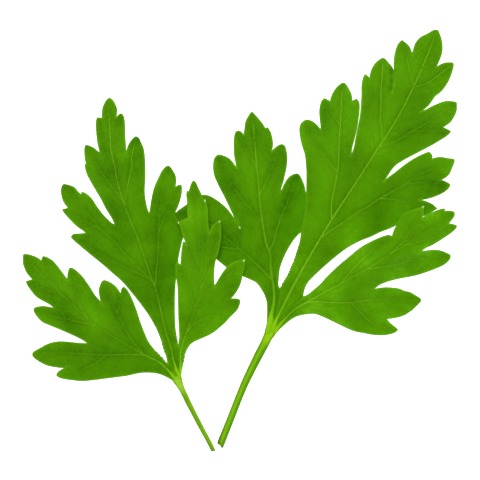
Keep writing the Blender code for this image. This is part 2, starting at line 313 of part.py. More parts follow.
def smooth_outline(knots, rib, step):
    """Closed curve through the knots, sharp at corners, drawn in from the neighbours at seams."""
    marks = [knot[2] if len(knot) > 2 else 0 for knot in knots]
    points = np.array([knot[:2] for knot in knots], float)
    for i, mark in enumerate(marks):
        if mark == SEAM:
            centre = np.interp(points[i, 1], [r[1] for r in rib], [r[0] for r in rib])
            points[i, 0] += math.copysign(SEAM_GAP, centre - points[i, 0])
            points[i, 1] += SEAM_GAP
    samples = []
    count = len(points)
    for i in range(count):
        p1, p2 = points[i], points[(i + 1) % count]
        p0 = 2 * p1 - p2 if marks[i] else points[i - 1]
        p3 = 2 * p2 - p1 if marks[(i + 1) % count] else points[(i + 2) % count]
        parts = max(1, round(float(np.linalg.norm(p2 - p1)) / step))
        for k in range(parts):
            samples.append(catmull_rom(p0, p1, p2, p3, k / parts))
    return np.array(samples)


def distance_to_line(points, line, closed=False):
    """Distance of each point from a polyline."""
    ends = np.roll(line, -1, 0) if closed else line[1:]
    starts = line if closed else line[:-1]
    run = ends - starts
    offset = points[:, None, :] - starts[None]
    share = np.clip((offset * run).sum(2) / np.maximum((run * run).sum(1), 1e-9), 0, 1)
    return np.linalg.norm(offset - share[..., None] * run, axis=2).min(1)


def inside(points, outline):
    """Whether each point lies inside the closed outline."""
    ends = np.roll(outline, -1, 0)
    x, y = points[:, 0:1], points[:, 1:2]
    crosses = (outline[:, 1] > y) != (ends[:, 1] > y)
    rise = np.where(ends[:, 1] == outline[:, 1], 1e-9, ends[:, 1] - outline[:, 1])
    at = outline[:, 0] + (y - outline[:, 1]) / rise * (ends[:, 0] - outline[:, 0])
    return (crosses & (x < at)).sum(1) % 2 == 1


class HeightField:
    """Thin-plate surface through a leaflet's named heights, level with its fork near the fork."""

    def __init__(self, heights, fork_height):
        table = np.array(heights, float)
        self.places = table[:, :2]
        self.fork_height = fork_height
        count = len(table)
        system = np.zeros((count + 3, count + 3))
        system[:count, :count] = self.kernel(self.places)
        system[:count, count] = 1
        system[:count, count + 1:] = self.places
        system[count:, :count] = system[:count, count:].T
        self.weights = np.linalg.solve(system, np.concatenate([table[:, 2], np.zeros(3)]))

    def kernel(self, points):
        squared = ((points[:, None] - self.places[None]) ** 2).sum(2)
        return 0.5 * squared * np.log(squared + 1e-9)

    def __call__(self, points):
        count = len(self.places)
        plate = self.kernel(points) @ self.weights[:count] + self.weights[count]
        plate = plate + points @ self.weights[count + 1:]
        radius = np.linalg.norm(points, axis=1)
        near, far = FORK_BLEND
        share = np.clip((radius - near) / (far - near), 0, 1)
        share = share * share * (3 - 2 * share)
        return (1 - share) * (self.fork_height + FORK_RISE * radius) + share * plate


def rib_stations(rib):
    """Points along the midrib and beside it, with the depth of the leaflet at each."""
    line = smooth_line(rib, RIB_STATION)
    way = np.gradient(line, axis=0)
    way /= np.linalg.norm(way, axis=1)[:, None]
    side = np.stack([way[:, 1], -way[:, 0]], 1) * RIB_HALF_WIDTH
    share = np.linspace(0, 1, len(line))
    depth = RIB_DEPTH_AT_FORK + (RIB_DEPTH_AT_TIP - RIB_DEPTH_AT_FORK) * share ** 0.6
    return line, np.vstack([line + side, line - side]), depth


def sheet_points(outline, rib_line):
    """Evenly staggered points inside the outline, clear of its edge and of the midrib."""
    low, high = outline.min(0), outline.max(0)
    rows = []
    pitch = SHEET_SPACING * math.sqrt(3) / 2
    for row in range(int((high[1] - low[1]) / pitch) + 1):
        shift = SHEET_SPACING / 2 if row % 2 else 0.0
        across = np.arange(low[0] + shift, high[0], SHEET_SPACING)
        rows.append(np.stack([across, np.full_like(across, low[1] + row * pitch)], 1))
    grid = np.vstack(rows)
    keep = inside(grid, outline)
    keep &= distance_to_line(grid, outline, closed=True) > SHEET_MARGIN
    keep &= distance_to_line(grid, rib_line) > 1.6 * RIB_HALF_WIDTH
    return grid[keep]


def principled(name, colour, roughness):
    """Plain leaf or stem material."""
    material = bpy.data.materials.new(name)
    material.use_nodes = True
    shader = material.node_tree.nodes["Principled BSDF"]
    shader.inputs["Base Color"].default_value = (*colour, 1.0)
    shader.inputs["Roughness"].default_value = roughness
    shader.inputs["Metallic"].default_value = 0.0
    material.diffuse_color = (*colour, 1.0)
    return material


def place(point, fork, turn):
    """Leaflet or stem frame to the bunch's frame, all in millimetres."""
    across, along = point
    x = fork[0] + along * math.sin(turn) + across * math.cos(turn)
    y = fork[1] + along * math.cos(turn) - across * math.sin(turn)
    return x, y


def add_object(name, bm, material):
    """Turn a bmesh into an object at the origin."""
    mesh = bpy.data.meshes.new(name)
    bm.to_mesh(mesh)
    bm.free()
    mesh.materials.append(material)
    obj = bpy.data.objects.new(name, mesh)
    bpy.context.scene.collection.objects.link(obj)
    mesh.shade_smooth()
    return obj


def build_leaflet(name, fork, degrees, knots, rib, heights, fork_height, colour):
    """Lobed blade: a curved sheet given its thickness, deeper along the midrib."""
    turn = math.radians(degrees)
    outline = smooth_outline(knots, rib, EDGE_STEP)
    rib_line, beside, depths = rib_stations(rib)
    beside = beside[inside(beside, outline)]
    beside = beside[distance_to_line(beside, outline, closed=True) > 0.3]
    points = np.vstack([outline, rib_line, beside, sheet_points(outline, rib_line)])
    first = len(outline)
    rib_edges = [(first + i, first + i + 1) for i in range(len(rib_line) - 1)]
    vectors = [Vector((float(x), float(y))) for x, y in points]
    flat, _, triangles, sources, _, _ = delaunay_2d_cdt(
        vectors, rib_edges, [list(range(len(outline)))], 1, 1e-5)
    field = HeightField(heights, fork_height)
    heights_at = field(np.array([(v.x, v.y) for v in flat]))
    bm = bmesh.new()
    weights = bm.verts.layers.deform.verify()
    for vector, height, source in zip(flat, heights_at, sources):
        x, y = place(vector, fork, turn)
        vertex = bm.verts.new((x * MM, y * MM, float(height) * MM))
        on_rib = [i - first for i in source if first <= i < first + len(rib_line)]
        depth = depths[on_rib[0]] if on_rib else BLADE_THICKNESS
        vertex[weights][0] = float(depth) / RIB_DEPTH_AT_FORK
    bm.verts.ensure_lookup_table()
    for triangle in triangles:
        bm.faces.new([bm.verts[i] for i in triangle])
    bmesh.ops.recalc_face_normals(bm, faces=bm.faces)
    if sum(face.normal.z for face in bm.faces) < 0:
        bmesh.ops.reverse_faces(bm, faces=bm.faces)
    obj = add_object(name, bm, principled(name, colour, 0.55))
    obj.vertex_groups.new(name="depth")
    solidify = obj.modifiers.new("blade", "SOLIDIFY")
    solidify.thickness = RIB_DEPTH_AT_FORK * MM
    solidify.offset = -1.0
    solidify.use_even_offset = False
    solidify.vertex_group = "depth"
    solidify.thickness_vertex_group = 0.0
    return obj


def stem_section(width):
    """Closed section of a stem: an ellipse with a channel along its upper side."""
    ring = []
    for i in range(STEM_POINTS):
        angle = 2 * math.pi * i / STEM_POINTS
        side = 0.5 * width * math.cos(angle)
        depth = 0.5 * min(width, 1.3) * math.sin(angle)
        if depth > 0:
            depth -= STEM_GROOVE_DEPTH * min(width, 1.0) * math.exp(-(side / (STEM_GROOVE_WIDTH * width)) ** 2)
        ring.append((side, depth))
    return ring


def build_stem(name, fork, degrees, stations, colour):
    """Grooved stem, widening into a short crown where the leaflets fork."""
    turn = math.radians(degrees)
    path = smooth_line(stations, STEM_STEP)
    bm = bmesh.new()
    rings = []
    for i, (across, along, width, height) in enumerate(path):
        ahead = path[min(i + 1, len(path) - 1)]
        behind = path[max(i - 1, 0)]
        ax, ay = place(ahead[:2], fork, turn)
        bx, by = place(behind[:2], fork, turn)
        way = Vector((ax - bx, ay - by, ahead[3] - behind[3])).normalized()
        side = way.cross(Vector((0, 0, 1))).normalized()
        up = side.cross(way)
        x, y = place((across, along), fork, turn)
        centre = Vector((x, y, height))
        rings.append([bm.verts.new((centre + side * s + up * u) * MM) for s, u in stem_section(width)])
    for ring, following in zip(rings, rings[1:]):
        for k in range(STEM_POINTS):
            n = (k + 1) % STEM_POINTS
            bm.faces.new((ring[k], ring[n], following[n], following[k]))
    for ring in (rings[0], rings[-1]):
        centre = bm.verts.new(sum((v.co for v in ring), Vector()) / STEM_POINTS)
        for k in range(STEM_POINTS):
            bm.faces.new((ring[k], ring[(k + 1) % STEM_POINTS], centre))
    bmesh.ops.recalc_face_normals(bm, faces=bm.faces)
    return add_object(name, bm, principled(name, colour, 0.45))


def main():
    clear_scene()
    for name, values in LEAFLETS.items():
        build_leaflet(name, *values)
    for name, values in STEMS.items():
        build_stem(name, *values)


main()
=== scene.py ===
"""Two cut sprigs of flat-leaved parsley lying together on a plain pale surface.

Each sprig is a grooved stalk that forks into three lobed leaflets. A leaflet is a thin blade with
rounded margins, drawn veins sunk into its upper side, stout ribs under it, a net of fine threads
between them, small teeth along the foot of its margins and a pale pore at some of its tips.
Tables are in millimetres. A leaflet's own flat frame has its first number across the leaflet to
its right and its second along the midrib from the fork; +Y is towards the leaf tips, +Z up.
"""
import logging
import math
from collections.abc import Iterable, Sequence
from dataclasses import dataclass
from enum import Enum
from typing import Any, NamedTuple

import bpy
import numpy as np
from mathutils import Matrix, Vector
from mathutils.geometry import delaunay_2d_cdt
from mathutils.kdtree import KDTree


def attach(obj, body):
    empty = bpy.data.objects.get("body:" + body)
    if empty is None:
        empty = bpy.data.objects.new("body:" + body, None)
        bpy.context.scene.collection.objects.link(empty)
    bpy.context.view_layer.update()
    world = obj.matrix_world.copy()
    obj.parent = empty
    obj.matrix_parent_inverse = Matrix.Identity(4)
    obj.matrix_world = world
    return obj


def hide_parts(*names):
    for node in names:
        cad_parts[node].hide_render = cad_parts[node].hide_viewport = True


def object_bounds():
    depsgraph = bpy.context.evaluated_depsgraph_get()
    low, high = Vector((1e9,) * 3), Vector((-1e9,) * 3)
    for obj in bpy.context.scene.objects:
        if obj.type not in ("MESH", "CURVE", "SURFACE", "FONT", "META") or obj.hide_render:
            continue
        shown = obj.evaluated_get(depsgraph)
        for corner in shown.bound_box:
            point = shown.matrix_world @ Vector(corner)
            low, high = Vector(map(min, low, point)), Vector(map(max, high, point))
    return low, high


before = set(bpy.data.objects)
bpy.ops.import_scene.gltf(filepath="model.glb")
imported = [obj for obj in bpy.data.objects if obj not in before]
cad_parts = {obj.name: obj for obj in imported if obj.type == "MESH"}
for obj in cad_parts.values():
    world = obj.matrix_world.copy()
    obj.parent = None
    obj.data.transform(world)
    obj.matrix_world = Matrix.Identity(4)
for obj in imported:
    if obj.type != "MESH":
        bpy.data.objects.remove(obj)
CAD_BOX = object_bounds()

Array = np.ndarray
Colour = tuple[float, float, float, float]
Flat = tuple[float, float]
Material, Object, Socket = bpy.types.Material, bpy.types.Object, bpy.types.NodeSocket

LOG = logging.getLogger("parsley")
MM = 0.001
BODY = "root"


class Knot(Enum):
    """How an outline passes through one of its points."""

    SMOOTH = "smooth"
    SHARP = "sharp"
    SEAM = "seam"


class Rank(Enum):
    """Which of the two vein nets a line belongs to."""

    DRAWN = "drawn"
    THREAD = "thread"


class Side(Enum):
    """The face of a blade on which its veins show."""

    UPPER = "upper"
    UNDER = "under"


SHARP, SEAM = Knot.SHARP, Knot.SEAM
JOIN = (0.0, 0.0, None)


class Vein(NamedTuple):
    """A drawn vein: its root and tip widths, the points it runs through, and how pale its parts are."""

    root: float
    tip: float
    points: tuple[Flat, ...]
    pale: tuple[float, ...] = (1.0,)


class Saw(NamedTuple):
    """A toothed stretch of margin: its two ends, and the number and size of its teeth."""

    start: Flat
    end: Flat
    number: int
    size: float


# Blades
BLADE_STEP = 0.24
OUTLINE_GROWTH = 0.07
BOX_CLEARANCE = 0.004
SHEET_PITCH = 0.28
SHEET_JITTER = 0.05
MARGIN_CLEARANCE = 0.17
VEIN_CLEARANCE = 0.13
MID_THICKNESS = 0.20
MARGIN_THICKNESS = 0.11
MARGIN_REACH = 0.8
RIM_BULGE = 0.035
TABLE_GAP = 0.02
FORK_BLEND = (6.0, 12.0)
FORK_RISE = 0.05

# Relief of the upper side
QUILT_DEPTH = 0.10
QUILT_REACH = 1.3
GROOVE_DEPTH = 0.11
GROOVE_REACH = 0.26
THREAD_DEPTH = 0.022
THREAD_REACH = 0.14
CELL_DEPTH = 0.022
CELL_PITCH = 1.05
SWELL_DEPTH = 0.10
RIPPLE_DEPTH = 0.13
RIPPLE_REACH = 1.3

TONE_LENGTH = 9.0
TONE_SWING = 0.45
TONE_SEED = 60
FOLD_DEPTH = 0.28
# Painted shadow beside the fold, on the lobe that slips under the next
FOLD_SHADE = 1.6
FOLD_SHADE_REACH = 0.6
FOLD_SHADE_SHIFT = 0.5
FOLD_REACH = 0.7
UNDERLAP_HALF = 0.45
UNDERLAP_DROP = 0.35
UNDERLAP_THICKNESS = 0.08
# Tone of the underlap strip: painted shade under the folded lobe
UNDERLAP_SHADE_TONE = -1.2
PORE_SIZE = 0.3
PORE_SINK = 0.02

# Veins
VEIN_FLATNESS = 0.45
VEIN_SINK = 0.16
THREAD_SINK = -0.35
VEIN_FLARE = 0.45
VEIN_FLARE_REACH = 3.5
RIB_FLATNESS = 0.8
ARM_DEPTH = 0.42
ARM_RISE = 1.9

# Forks
LARGE_FORK = (6.3, -17.2)
SMALL_FORK = (-11.9, -27.2)
LARGE_FORK_HEIGHT = 2.75
SMALL_FORK_HEIGHT = 2.15

LARGE_MIDDLE_OUTLINE = (
    (0.5, 68), (-0.75, 66.3), (-1.6, 65), (-1.9, 63.6), (-1.65, 62.1), (-1.3, 61, SHARP), (-2, 61.8), (-2.9, 62.4),
    (-4.6, 62.75, SHARP), (-4.85, 61.7), (-4.6, 60), (-4, 58.4), (-1.9, 54.6), (-1.4, 53.3), (-1.25, 52.4, SHARP),
    (-1.46, 53.3), (-1.97, 54.65), (-2.7, 55.93), (-3.65, 56.95), (-4.9, 57.5), (-6.1, 57.8), (-6.8, 56.8),
    (-7.1, 55.3), (-6.95, 54), (-6.6, 53, SHARP), (-7.8, 53.2, SHARP), (-7.7, 52.2), (-7.2, 50.8), (-6.4, 49.3),
    (-4.6, 45.4), (-3.9, 43.2), (-3.2, 41), (-2.6, 39.1), (-2.35, 37.4, SHARP), (-3, 38.9), (-3.5, 40.9),
    (-4.2, 43.3), (-5.6, 46.8), (-6.2, 47.7), (-6.85, 48.05, SHARP), (-7.5, 47.2, SHARP), (-8, 48), (-8.7, 48.7),
    (-10.65, 49.65), (-11.3, 48.7), (-11.6, 47.2), (-11.5, 45.95), (-11.3, 45.1, SHARP), (-12.6, 45.1, SHARP),
    (-12.8, 44.4), (-12.55, 43.2), (-12, 42), (-10.5, 39.8), (-10.1, 39.1, SHARP), (-11.2, 39.6), (-12.5, 39.85),
    (-13.6, 39.6), (-14.2, 38.6), (-14.05, 37.5), (-12.4, 35.2), (-10.5, 33.3), (-9.6, 32), (-8.75, 30.7),
    (-6.1, 25.8), (-5.25, 24.1), (-4.7, 22.2), (-4.2, 20.6), (-3, 17.4), (-2, 11.9), (-1.9, 10), (-2.05, 7.3, SEAM),
    (-1.4, 5.6, SEAM), (-0.8, 4, SEAM), (-0.35, 2.5, SEAM), (0.05, 1.2, SEAM), (0.75, 1.3, SEAM), (1.05, 3, SEAM),
    (1.4, 5, SEAM), (2.1, 6.8, SEAM), (2.75, 8.2, SEAM), (2.35, 9.2), (2.1, 10.6), (3, 14.2), (5.7, 21),
    (7.6, 23.9), (8.8, 25.3), (10, 27), (11.2, 28.4), (12.5, 30.1), (14.1, 31.6), (17, 35.3), (17.8, 36.65, SHARP),
    (16.4, 36.9), (15, 36.75), (13.75, 36.3, SHARP), (15.9, 38.2), (17.6, 40.6), (17.8, 42), (16.8, 42.15),
    (15.65, 41.95, SHARP), (16.2, 42.8), (16.55, 43.8), (16.5, 45), (16.1, 46.85), (15, 46.5), (13.6, 46),
    (12.7, 45.4), (12.1, 44.75, SHARP), (11.8, 45.4), (11, 45.7), (10.3, 45), (8.9, 43), (7.6, 40.4), (6.9, 38.7),
    (6.2, 37.2), (5.75, 36, SHARP), (6.1, 39.6), (6.6, 40.9), (11.1, 47.9), (12.6, 50.7), (12.75, 51.5, SHARP),
    (10.95, 51.4, SHARP), (11.8, 53.3), (11.7, 55.8), (11.1, 57.05), (9.9, 56.75), (8.8, 56.1), (7, 53.9),
    (6.3, 52.8), (5.55, 51.9, SHARP), (6.3, 53.9), (6.6, 56.2), (7, 57.1), (7.3, 58.2), (7.4, 60.8), (6.6, 63.65),
    (5.9, 63.4), (5.1, 62.85), (4.5, 62.1), (4, 61.2, SHARP), (3.8, 63.3), (3.55, 64.5), (3.1, 65.5), (2.4, 66.5),
    (1.5, 67.4),
)
LARGE_LEFT_OUTLINE = (
    (-0.38, 43), (-1.2, 42.1), (-1.75, 41.2), (-2.15, 39.4), (-2.4, 38.5, SHARP), (-2.9, 39.2), (-3.5, 39.45),
    (-4, 39.1), (-4.56, 35.4), (-4.25, 31.9, SHARP), (-5.2, 33.5), (-5.8, 34.15), (-7.8, 35), (-8.45, 34.5),
    (-8.8, 33.7), (-8.9, 31.3), (-8.15, 28.9), (-7.5, 27.4), (-5.75, 22.9), (-5.2, 21.4), (-4.65, 20.15, SHARP),
    (-5.5, 21.8), (-7.2, 24.4), (-10, 26.8), (-11.2, 27.2), (-12.4, 27.1), (-13.6, 26.5), (-14.8, 25.6),
    (-16, 24.9), (-17.1, 24.1), (-17.75, 23.2), (-17.5, 22.2), (-16.7, 21.2), (-12.6, 17), (-11.2, 15.7),
    (-7.8, 12.4), (-6.3, 11.3), (-3.4, 9.7), (-2.3, 9.05), (-1.65, 8.25), (-1.22, 7.4), (-0.78, 6.48), (-0.41, 4.8),
    (-0.6, 1.8), (-0.75, 0.9, SHARP), JOIN, (2.05, 8.2), (2.2, 9.2), (2.4, 10.5), (2.8, 11.9), (4.2, 14.6),
    (6, 17.05), (6.9, 17.9), (7.8, 18.6), (8.95, 21.4), (9.15, 25), (8.95, 26.6), (8.8, 27.7), (8.1, 29.55),
    (7.65, 29.95), (6.15, 29.5), (4.85, 27.9), (4.4, 27), (3.95, 26.35, SHARP), (4.25, 27.5), (4.7, 28.6),
    (5.1, 29.9), (5.5, 31.1), (5.9, 33.6), (5.55, 35.8), (5.05, 36.05), (4.2, 35.8), (2.9, 34.8, SHARP),
    (3.25, 36.3), (3.1, 38.3), (2.8, 39.1), (2.5, 39.65), (2.05, 39.5, SHARP), (1.4, 40.7), (0.25, 42.3),
)
LARGE_RIGHT_OUTLINE = (
    (-2.1, 43.1), (-2.9, 42.3), (-3.25, 41.5, SHARP), (-3.65, 41.75), (-4.05, 40.6), (-4.2, 39.2), (-4.3, 37.9),
    (-4.15, 36.8, SHARP), (-4.9, 37.5), (-5.5, 37.85), (-6.15, 38.25), (-6.35, 37), (-6.75, 34.4), (-6.35, 33.2),
    (-5.6, 32), (-4.8, 30.8), (-3.95, 29.85, SHARP), (-4.4, 29.5), (-4.75, 28.5), (-5.05, 23.8), (-4.4, 19.8),
    (-4.05, 17.9), (-3.15, 14.5), (-2.55, 12.7), (-2.15, 10.9), (-1.9, 9.3), JOIN, (1.3, 1.3, SHARP), (0.98, 2.6),
    (0.7, 5.2), (1.55, 8), (2.3, 9.15), (8.8, 14), (10.2, 15.6), (11.5, 17.2), (12.4, 18.7), (12.95, 20.1),
    (13.12, 21.1), (12.95, 21.8), (11.85, 21.45), (10.8, 21.05), (9.95, 20.9, SHARP), (10.75, 23.1), (11, 24.6),
    (10.85, 26.3), (10.5, 27.7), (10, 28.8), (8.75, 28.3), (7.6, 27.6), (6.7, 26.65), (5.85, 25.95), (4.35, 23.7),
    (3.45, 21.4, SHARP), (3.25, 23.1), (3.5, 24.9), (4.05, 27), (5.2, 30.6), (6, 36), (5.85, 37.2), (5.45, 38),
    (5, 38.25), (4.4, 37.9), (2.95, 36.6), (1.45, 33.4, SHARP), (1.28, 34.6), (1.4, 36), (1.1, 40.7), (0.85, 41.7),
    (0.6, 42.25), (0.2, 42.05), (-0.72, 41, SHARP), (-1.5, 42.7),
)
SMALL_MIDDLE_OUTLINE = (
    (-0.05, 57.4), (-1.5, 56.05), (-2.3, 53.9, SHARP), (-3.2, 54.2, SHARP), (-3.55, 53.6), (-4.3, 49.8),
    (-4.4, 47.1, SHARP), (-4.9, 47.8), (-5.4, 48.5), (-6.8, 49.4), (-7.15, 48.9), (-7.57, 47), (-7.62, 45.9, SHARP),
    (-7.9, 45.75, SHARP), (-8, 44.8), (-7.95, 43.7), (-6.4, 38), (-6, 36.3), (-5.15, 33.4), (-5.05, 32.4, SHARP),
    (-5.7, 33.1), (-6.9, 35.1), (-7.8, 37.3), (-8.2, 38.5), (-8.75, 39.5), (-9.3, 40.15), (-9.85, 40.55, SHARP),
    (-10.2, 40.1, SHARP), (-10.6, 40.8), (-11.05, 41.7), (-11.7, 42.3), (-12.4, 42.7), (-13.05, 42.95),
    (-13.55, 42.5), (-13.9, 41.5), (-13.97, 40.2), (-13.7, 39), (-13.3, 38.2, SHARP), (-13.9, 38.1), (-14.5, 38.15),
    (-13.1, 35.1), (-12.2, 33.8), (-11.4, 32.9), (-11.1, 32.4, SHARP), (-11.8, 32.45), (-13.7, 32.75),
    (-14.15, 32.4), (-12.75, 30.1), (-9.3, 25.4), (-8, 23.5), (-6.8, 21.8), (-5.9, 20.2), (-3.05, 13.6), (-2, 9.5),
    (-1.72, 5.6), (-1.65, 4.2), (-1.8, 2.8, SEAM), (-1.35, 1.9, SEAM), (-0.95, 1, SEAM), (-0.6, 0.2, SEAM),
    (-0.1, 0.2, SEAM), (0.1, 1.5, SEAM), (0.45, 3.2, SEAM), (1.05, 5.6, SEAM), (1.5, 9.9), (3.5, 17.7), (5.2, 22),
    (5.5, 23), (7, 26), (7.65, 27.2), (7.8, 28.4), (7.5, 29.7), (7.1, 30.9), (7.2, 32), (8.05, 33.1), (9.4, 35.5),
    (9.65, 37), (9, 37), (8.4, 36.75, SHARP), (9.03, 38.7), (8.6, 40.7), (8.1, 41.35), (6.8, 40.7), (6, 39.8),
    (4.3, 37.6), (2.9, 34.7), (2.45, 33.6), (2.05, 32.9, SHARP), (1.95, 34.4), (2.2, 37.2), (3.3, 41), (4.2, 45.8),
    (4, 47.2), (3.8, 48.2), (3.35, 48.6), (2.75, 48.4), (1.5, 47.3), (1, 46.5), (0.56, 45.8, SHARP), (1.03, 48),
    (1.3, 49.5), (1.9, 52.2), (1.92, 53.3), (1.65, 53.8), (0.8, 53.5), (0.38, 53.2, SHARP), (0.92, 54.5),
    (1.02, 55.2), (0.5, 57.1),
)
SMALL_LEFT_OUTLINE = (
    (0, 39.7), (-1, 39), (-2.2, 37.2), (-2.5, 36.2), (-2.65, 35.2, SHARP), (-3.2, 35.5), (-3.8, 35.9), (-4.8, 33.3),
    (-4.9, 32), (-4.5, 29.3), (-4.55, 28.2, SHARP), (-5, 29), (-5.45, 29.9), (-6.2, 30.8), (-7.2, 31.4),
    (-7.7, 30.8), (-8.2, 28.6), (-7.9, 27.2), (-6.9, 23.5), (-6.15, 20.1), (-6, 18.5, SHARP), (-6.7, 19.4),
    (-9.1, 23.1), (-10, 24.05), (-11.1, 24.85), (-12.5, 25.5), (-14.4, 26.15), (-14.85, 25.7), (-14.8, 23.5),
    (-14.4, 22.1), (-13.2, 19.9), (-12.5, 19.1, SHARP), (-14.2, 19.8), (-14.95, 19.7), (-14.95, 18.9),
    (-13.6, 16.3), (-12.5, 14.7), (-8.2, 10.3), (-6.6, 8.7), (-3.9, 6.3), (-2.2, 3.7), (-1.65, 1.5),
    (-1.62, 0.9, SHARP), JOIN, (0.6, 4.7), (0.76, 5.9), (1.4, 8.8), (2.1, 10.3), (3.85, 13.2), (4.9, 14.7),
    (6.6, 17.6), (7.15, 19), (7.2, 19.75), (6.8, 19.9), (5.5, 19.2, SHARP), (5.85, 19.7), (6.33, 21.5), (6, 23.5),
    (5.55, 23.9), (4.6, 23.7), (3.85, 23.4), (2.3, 21.8), (1.85, 21.05, SHARP), (2.2, 22.4), (2.5, 23.7), (3, 25),
    (3.4, 26.3), (3.8, 27.6), (3.94, 30.1), (3.6, 30.65), (2.1, 30), (1.5, 29.55, SHARP), (2.5, 33.2), (2.7, 34.6),
    (2.2, 36.35), (1.75, 36.2), (1.33, 36.1, SHARP), (1.3, 37.1), (0.6, 39.1),
)
SMALL_RIGHT_OUTLINE = (
    (0.85, 39.15), (0.5, 38.6), (0, 36.85, SHARP), (-0.35, 37.15, SHARP), (-0.4, 36.3), (-0.2, 35.2), (-0.05, 32.9),
    (0.1, 31.7, SHARP), (-1.25, 31), (-1.8, 30.6), (-1.4, 30), (-1.05, 29.2), (-0.85, 28.4), (-0.1, 26.8),
    (0.15, 26.1, SHARP), (-0.5, 26.85), (-0.75, 25.6), (-0.9, 22.2, SHARP), (-1.75, 22.6), (-1.75, 20.3),
    (-1.5, 19.2), (-1.25, 17.8), (-0.8, 11.6), (-0.6, 9.5), (-0.45, 7.6), JOIN, (0.27, 1.2, SHARP), (0.42, 2.4),
    (0.77, 4.6), (1.6, 6.3), (2.3, 6.95), (5.2, 8.45), (6.3, 9.15), (8.4, 11.1), (9.3, 12.2), (10.9, 14.1),
    (11.2, 15.75), (10.6, 15.95), (9.3, 15.9, SHARP), (10.1, 16.9), (10.75, 18), (11.2, 19.2), (11.45, 20.6),
    (11.75, 22), (11.95, 23), (11.7, 23.8), (10.7, 23.6), (9.6, 23.15), (8.6, 22.4), (7.6, 21.1), (6, 18.1, SHARP),
    (5.8, 19.8), (5.85, 22.8), (6.5, 25.5), (6.85, 28.6), (6.4, 31.4), (5.7, 30.9), (5.1, 30.3), (4.5, 28.8, SHARP),
    (4.3, 29.8), (4, 32.4), (3.9, 33.6), (3.25, 35.5), (2.95, 35.7), (2.2, 37.1), (1.7, 38), (1.3, 38.8),
)

# Heights of the upper surface above the table: (across, along, height)
LARGE_MIDDLE_HEIGHTS = (
    (0, 10, 3.8), (0, 25, 5.2), (1, 40, 6.2), (1.9, 51, 5.2), (1.6, 60, 3), (0.5, 68, 0.4), (-2, 12, 3.8),
    (-4.5, 22, 4.4), (-9, 31, 4), (-14, 38.3, 1.5), (-10.6, 49.4, 1.3), (-12.5, 44.5, 1.5), (-4, 48, 4.6),
    (-6.3, 57.3, 1.9), (-4.6, 62.3, 1.9), (-7.5, 51, 2.7), (4.2, 17.5, 4.1), (8.8, 25.5, 3.3), (12.5, 30.5, 1.7),
    (15, 33, 1), (17.6, 36.5, 0.36), (17.5, 41.8, 0.9), (16, 46.5, 0.45), (12.4, 51.2, 1.7), (11, 56.7, 1.2),
    (6.6, 63.3, 1.4), (5, 46, 4.9), (9.5, 38, 3.8), (7.3, 59, 2.2),
)
LARGE_LEFT_HEIGHTS = (
    (1, 9, 3.6), (0.9, 14.5, 4.3), (0, 22, 4.8), (-0.2, 30, 4.3), (-0.3, 37, 2.4), (-0.4, 43, 0.4),
    (4.5, 15.5, 2.8), (7.8, 18.6, 2.1), (9.1, 23.5, 1.8), (7.7, 29.7, 1.4), (4.2, 22, 3.5), (5, 35.8, 1.5),
    (5.8, 32, 1.6), (-7.9, 34.7, 1.2), (-8.8, 31, 1.6), (-3.6, 39.2, 1.5), (-4.8, 26, 3.6), (-4.7, 20.2, 2.8),
    (-2.3, 9.2, 2.8), (-3.4, 12.5, 2.5), (-6, 16.5, 1.7), (-9, 19, 1.1), (-12, 22, 0.7), (-15, 22.6, 0.5),
    (-17.6, 23.2, 0.36), (-5.5, 11, 1.5), (-7.8, 12.5, 1.1), (-9.7, 14.3, 0.85), (-13, 17.5, 0.5), (-8, 25.2, 1.2),
    (-11, 27, 0.7), (-14, 26.1, 0.5),
)
LARGE_RIGHT_HEIGHTS = (
    (0, 6, 3.5), (-0.7, 12, 4.4), (-0.7, 20, 5.1), (-1, 28, 4.9), (-1.4, 35, 3.8), (-2, 43, 1.5), (-2.5, 13, 4.1),
    (-5, 22, 3.8), (-4.9, 28, 3.6), (-6.7, 34.5, 3), (-6.1, 38, 2.2), (-4.2, 37.5, 2.7), (-4, 32, 4),
    (2.6, 9.4, 3.3), (3.8, 10.5, 3), (8, 13.5, 1.8), (12.3, 18.7, 0.8), (12.9, 21.6, 0.36), (10, 28.6, 0.36),
    (6, 20, 2.7), (5.8, 25.8, 1.7), (5, 38.1, 0.4), (5.8, 34.5, 1), (3, 30, 2.5), (0.6, 42, 1), (2, 34, 2.4),
)
SMALL_MIDDLE_HEIGHTS = (
    (-0.5, 8, 2.8), (-0.5, 18, 4), (-1, 25, 4.6), (-2, 36, 4.8), (-2.2, 46, 3.2), (-1, 53, 1.6), (0, 57.4, 0.36),
    (-3, 13.8, 2.7), (-6, 20.6, 2.5), (-10, 26.5, 1.7), (-14, 32.4, 0.9), (-14.3, 38, 0.8), (-13, 42.8, 0.36),
    (-9.8, 40.3, 1.5), (-8, 33.5, 2.8), (-7.9, 45, 1.4), (-6.8, 49.2, 1.1), (-3.2, 54, 1.3), (2.4, 14, 2.5),
    (4.8, 21, 1.9), (7.6, 28.2, 1.6), (7.1, 31.8, 1.6), (9.6, 36.7, 1), (8, 41.1, 0.4), (4.5, 33, 3),
    (4.1, 45.5, 1.5), (3.3, 48.4, 1.1), (1.7, 53.6, 1.2), (1.6, 10, 2.7),
)
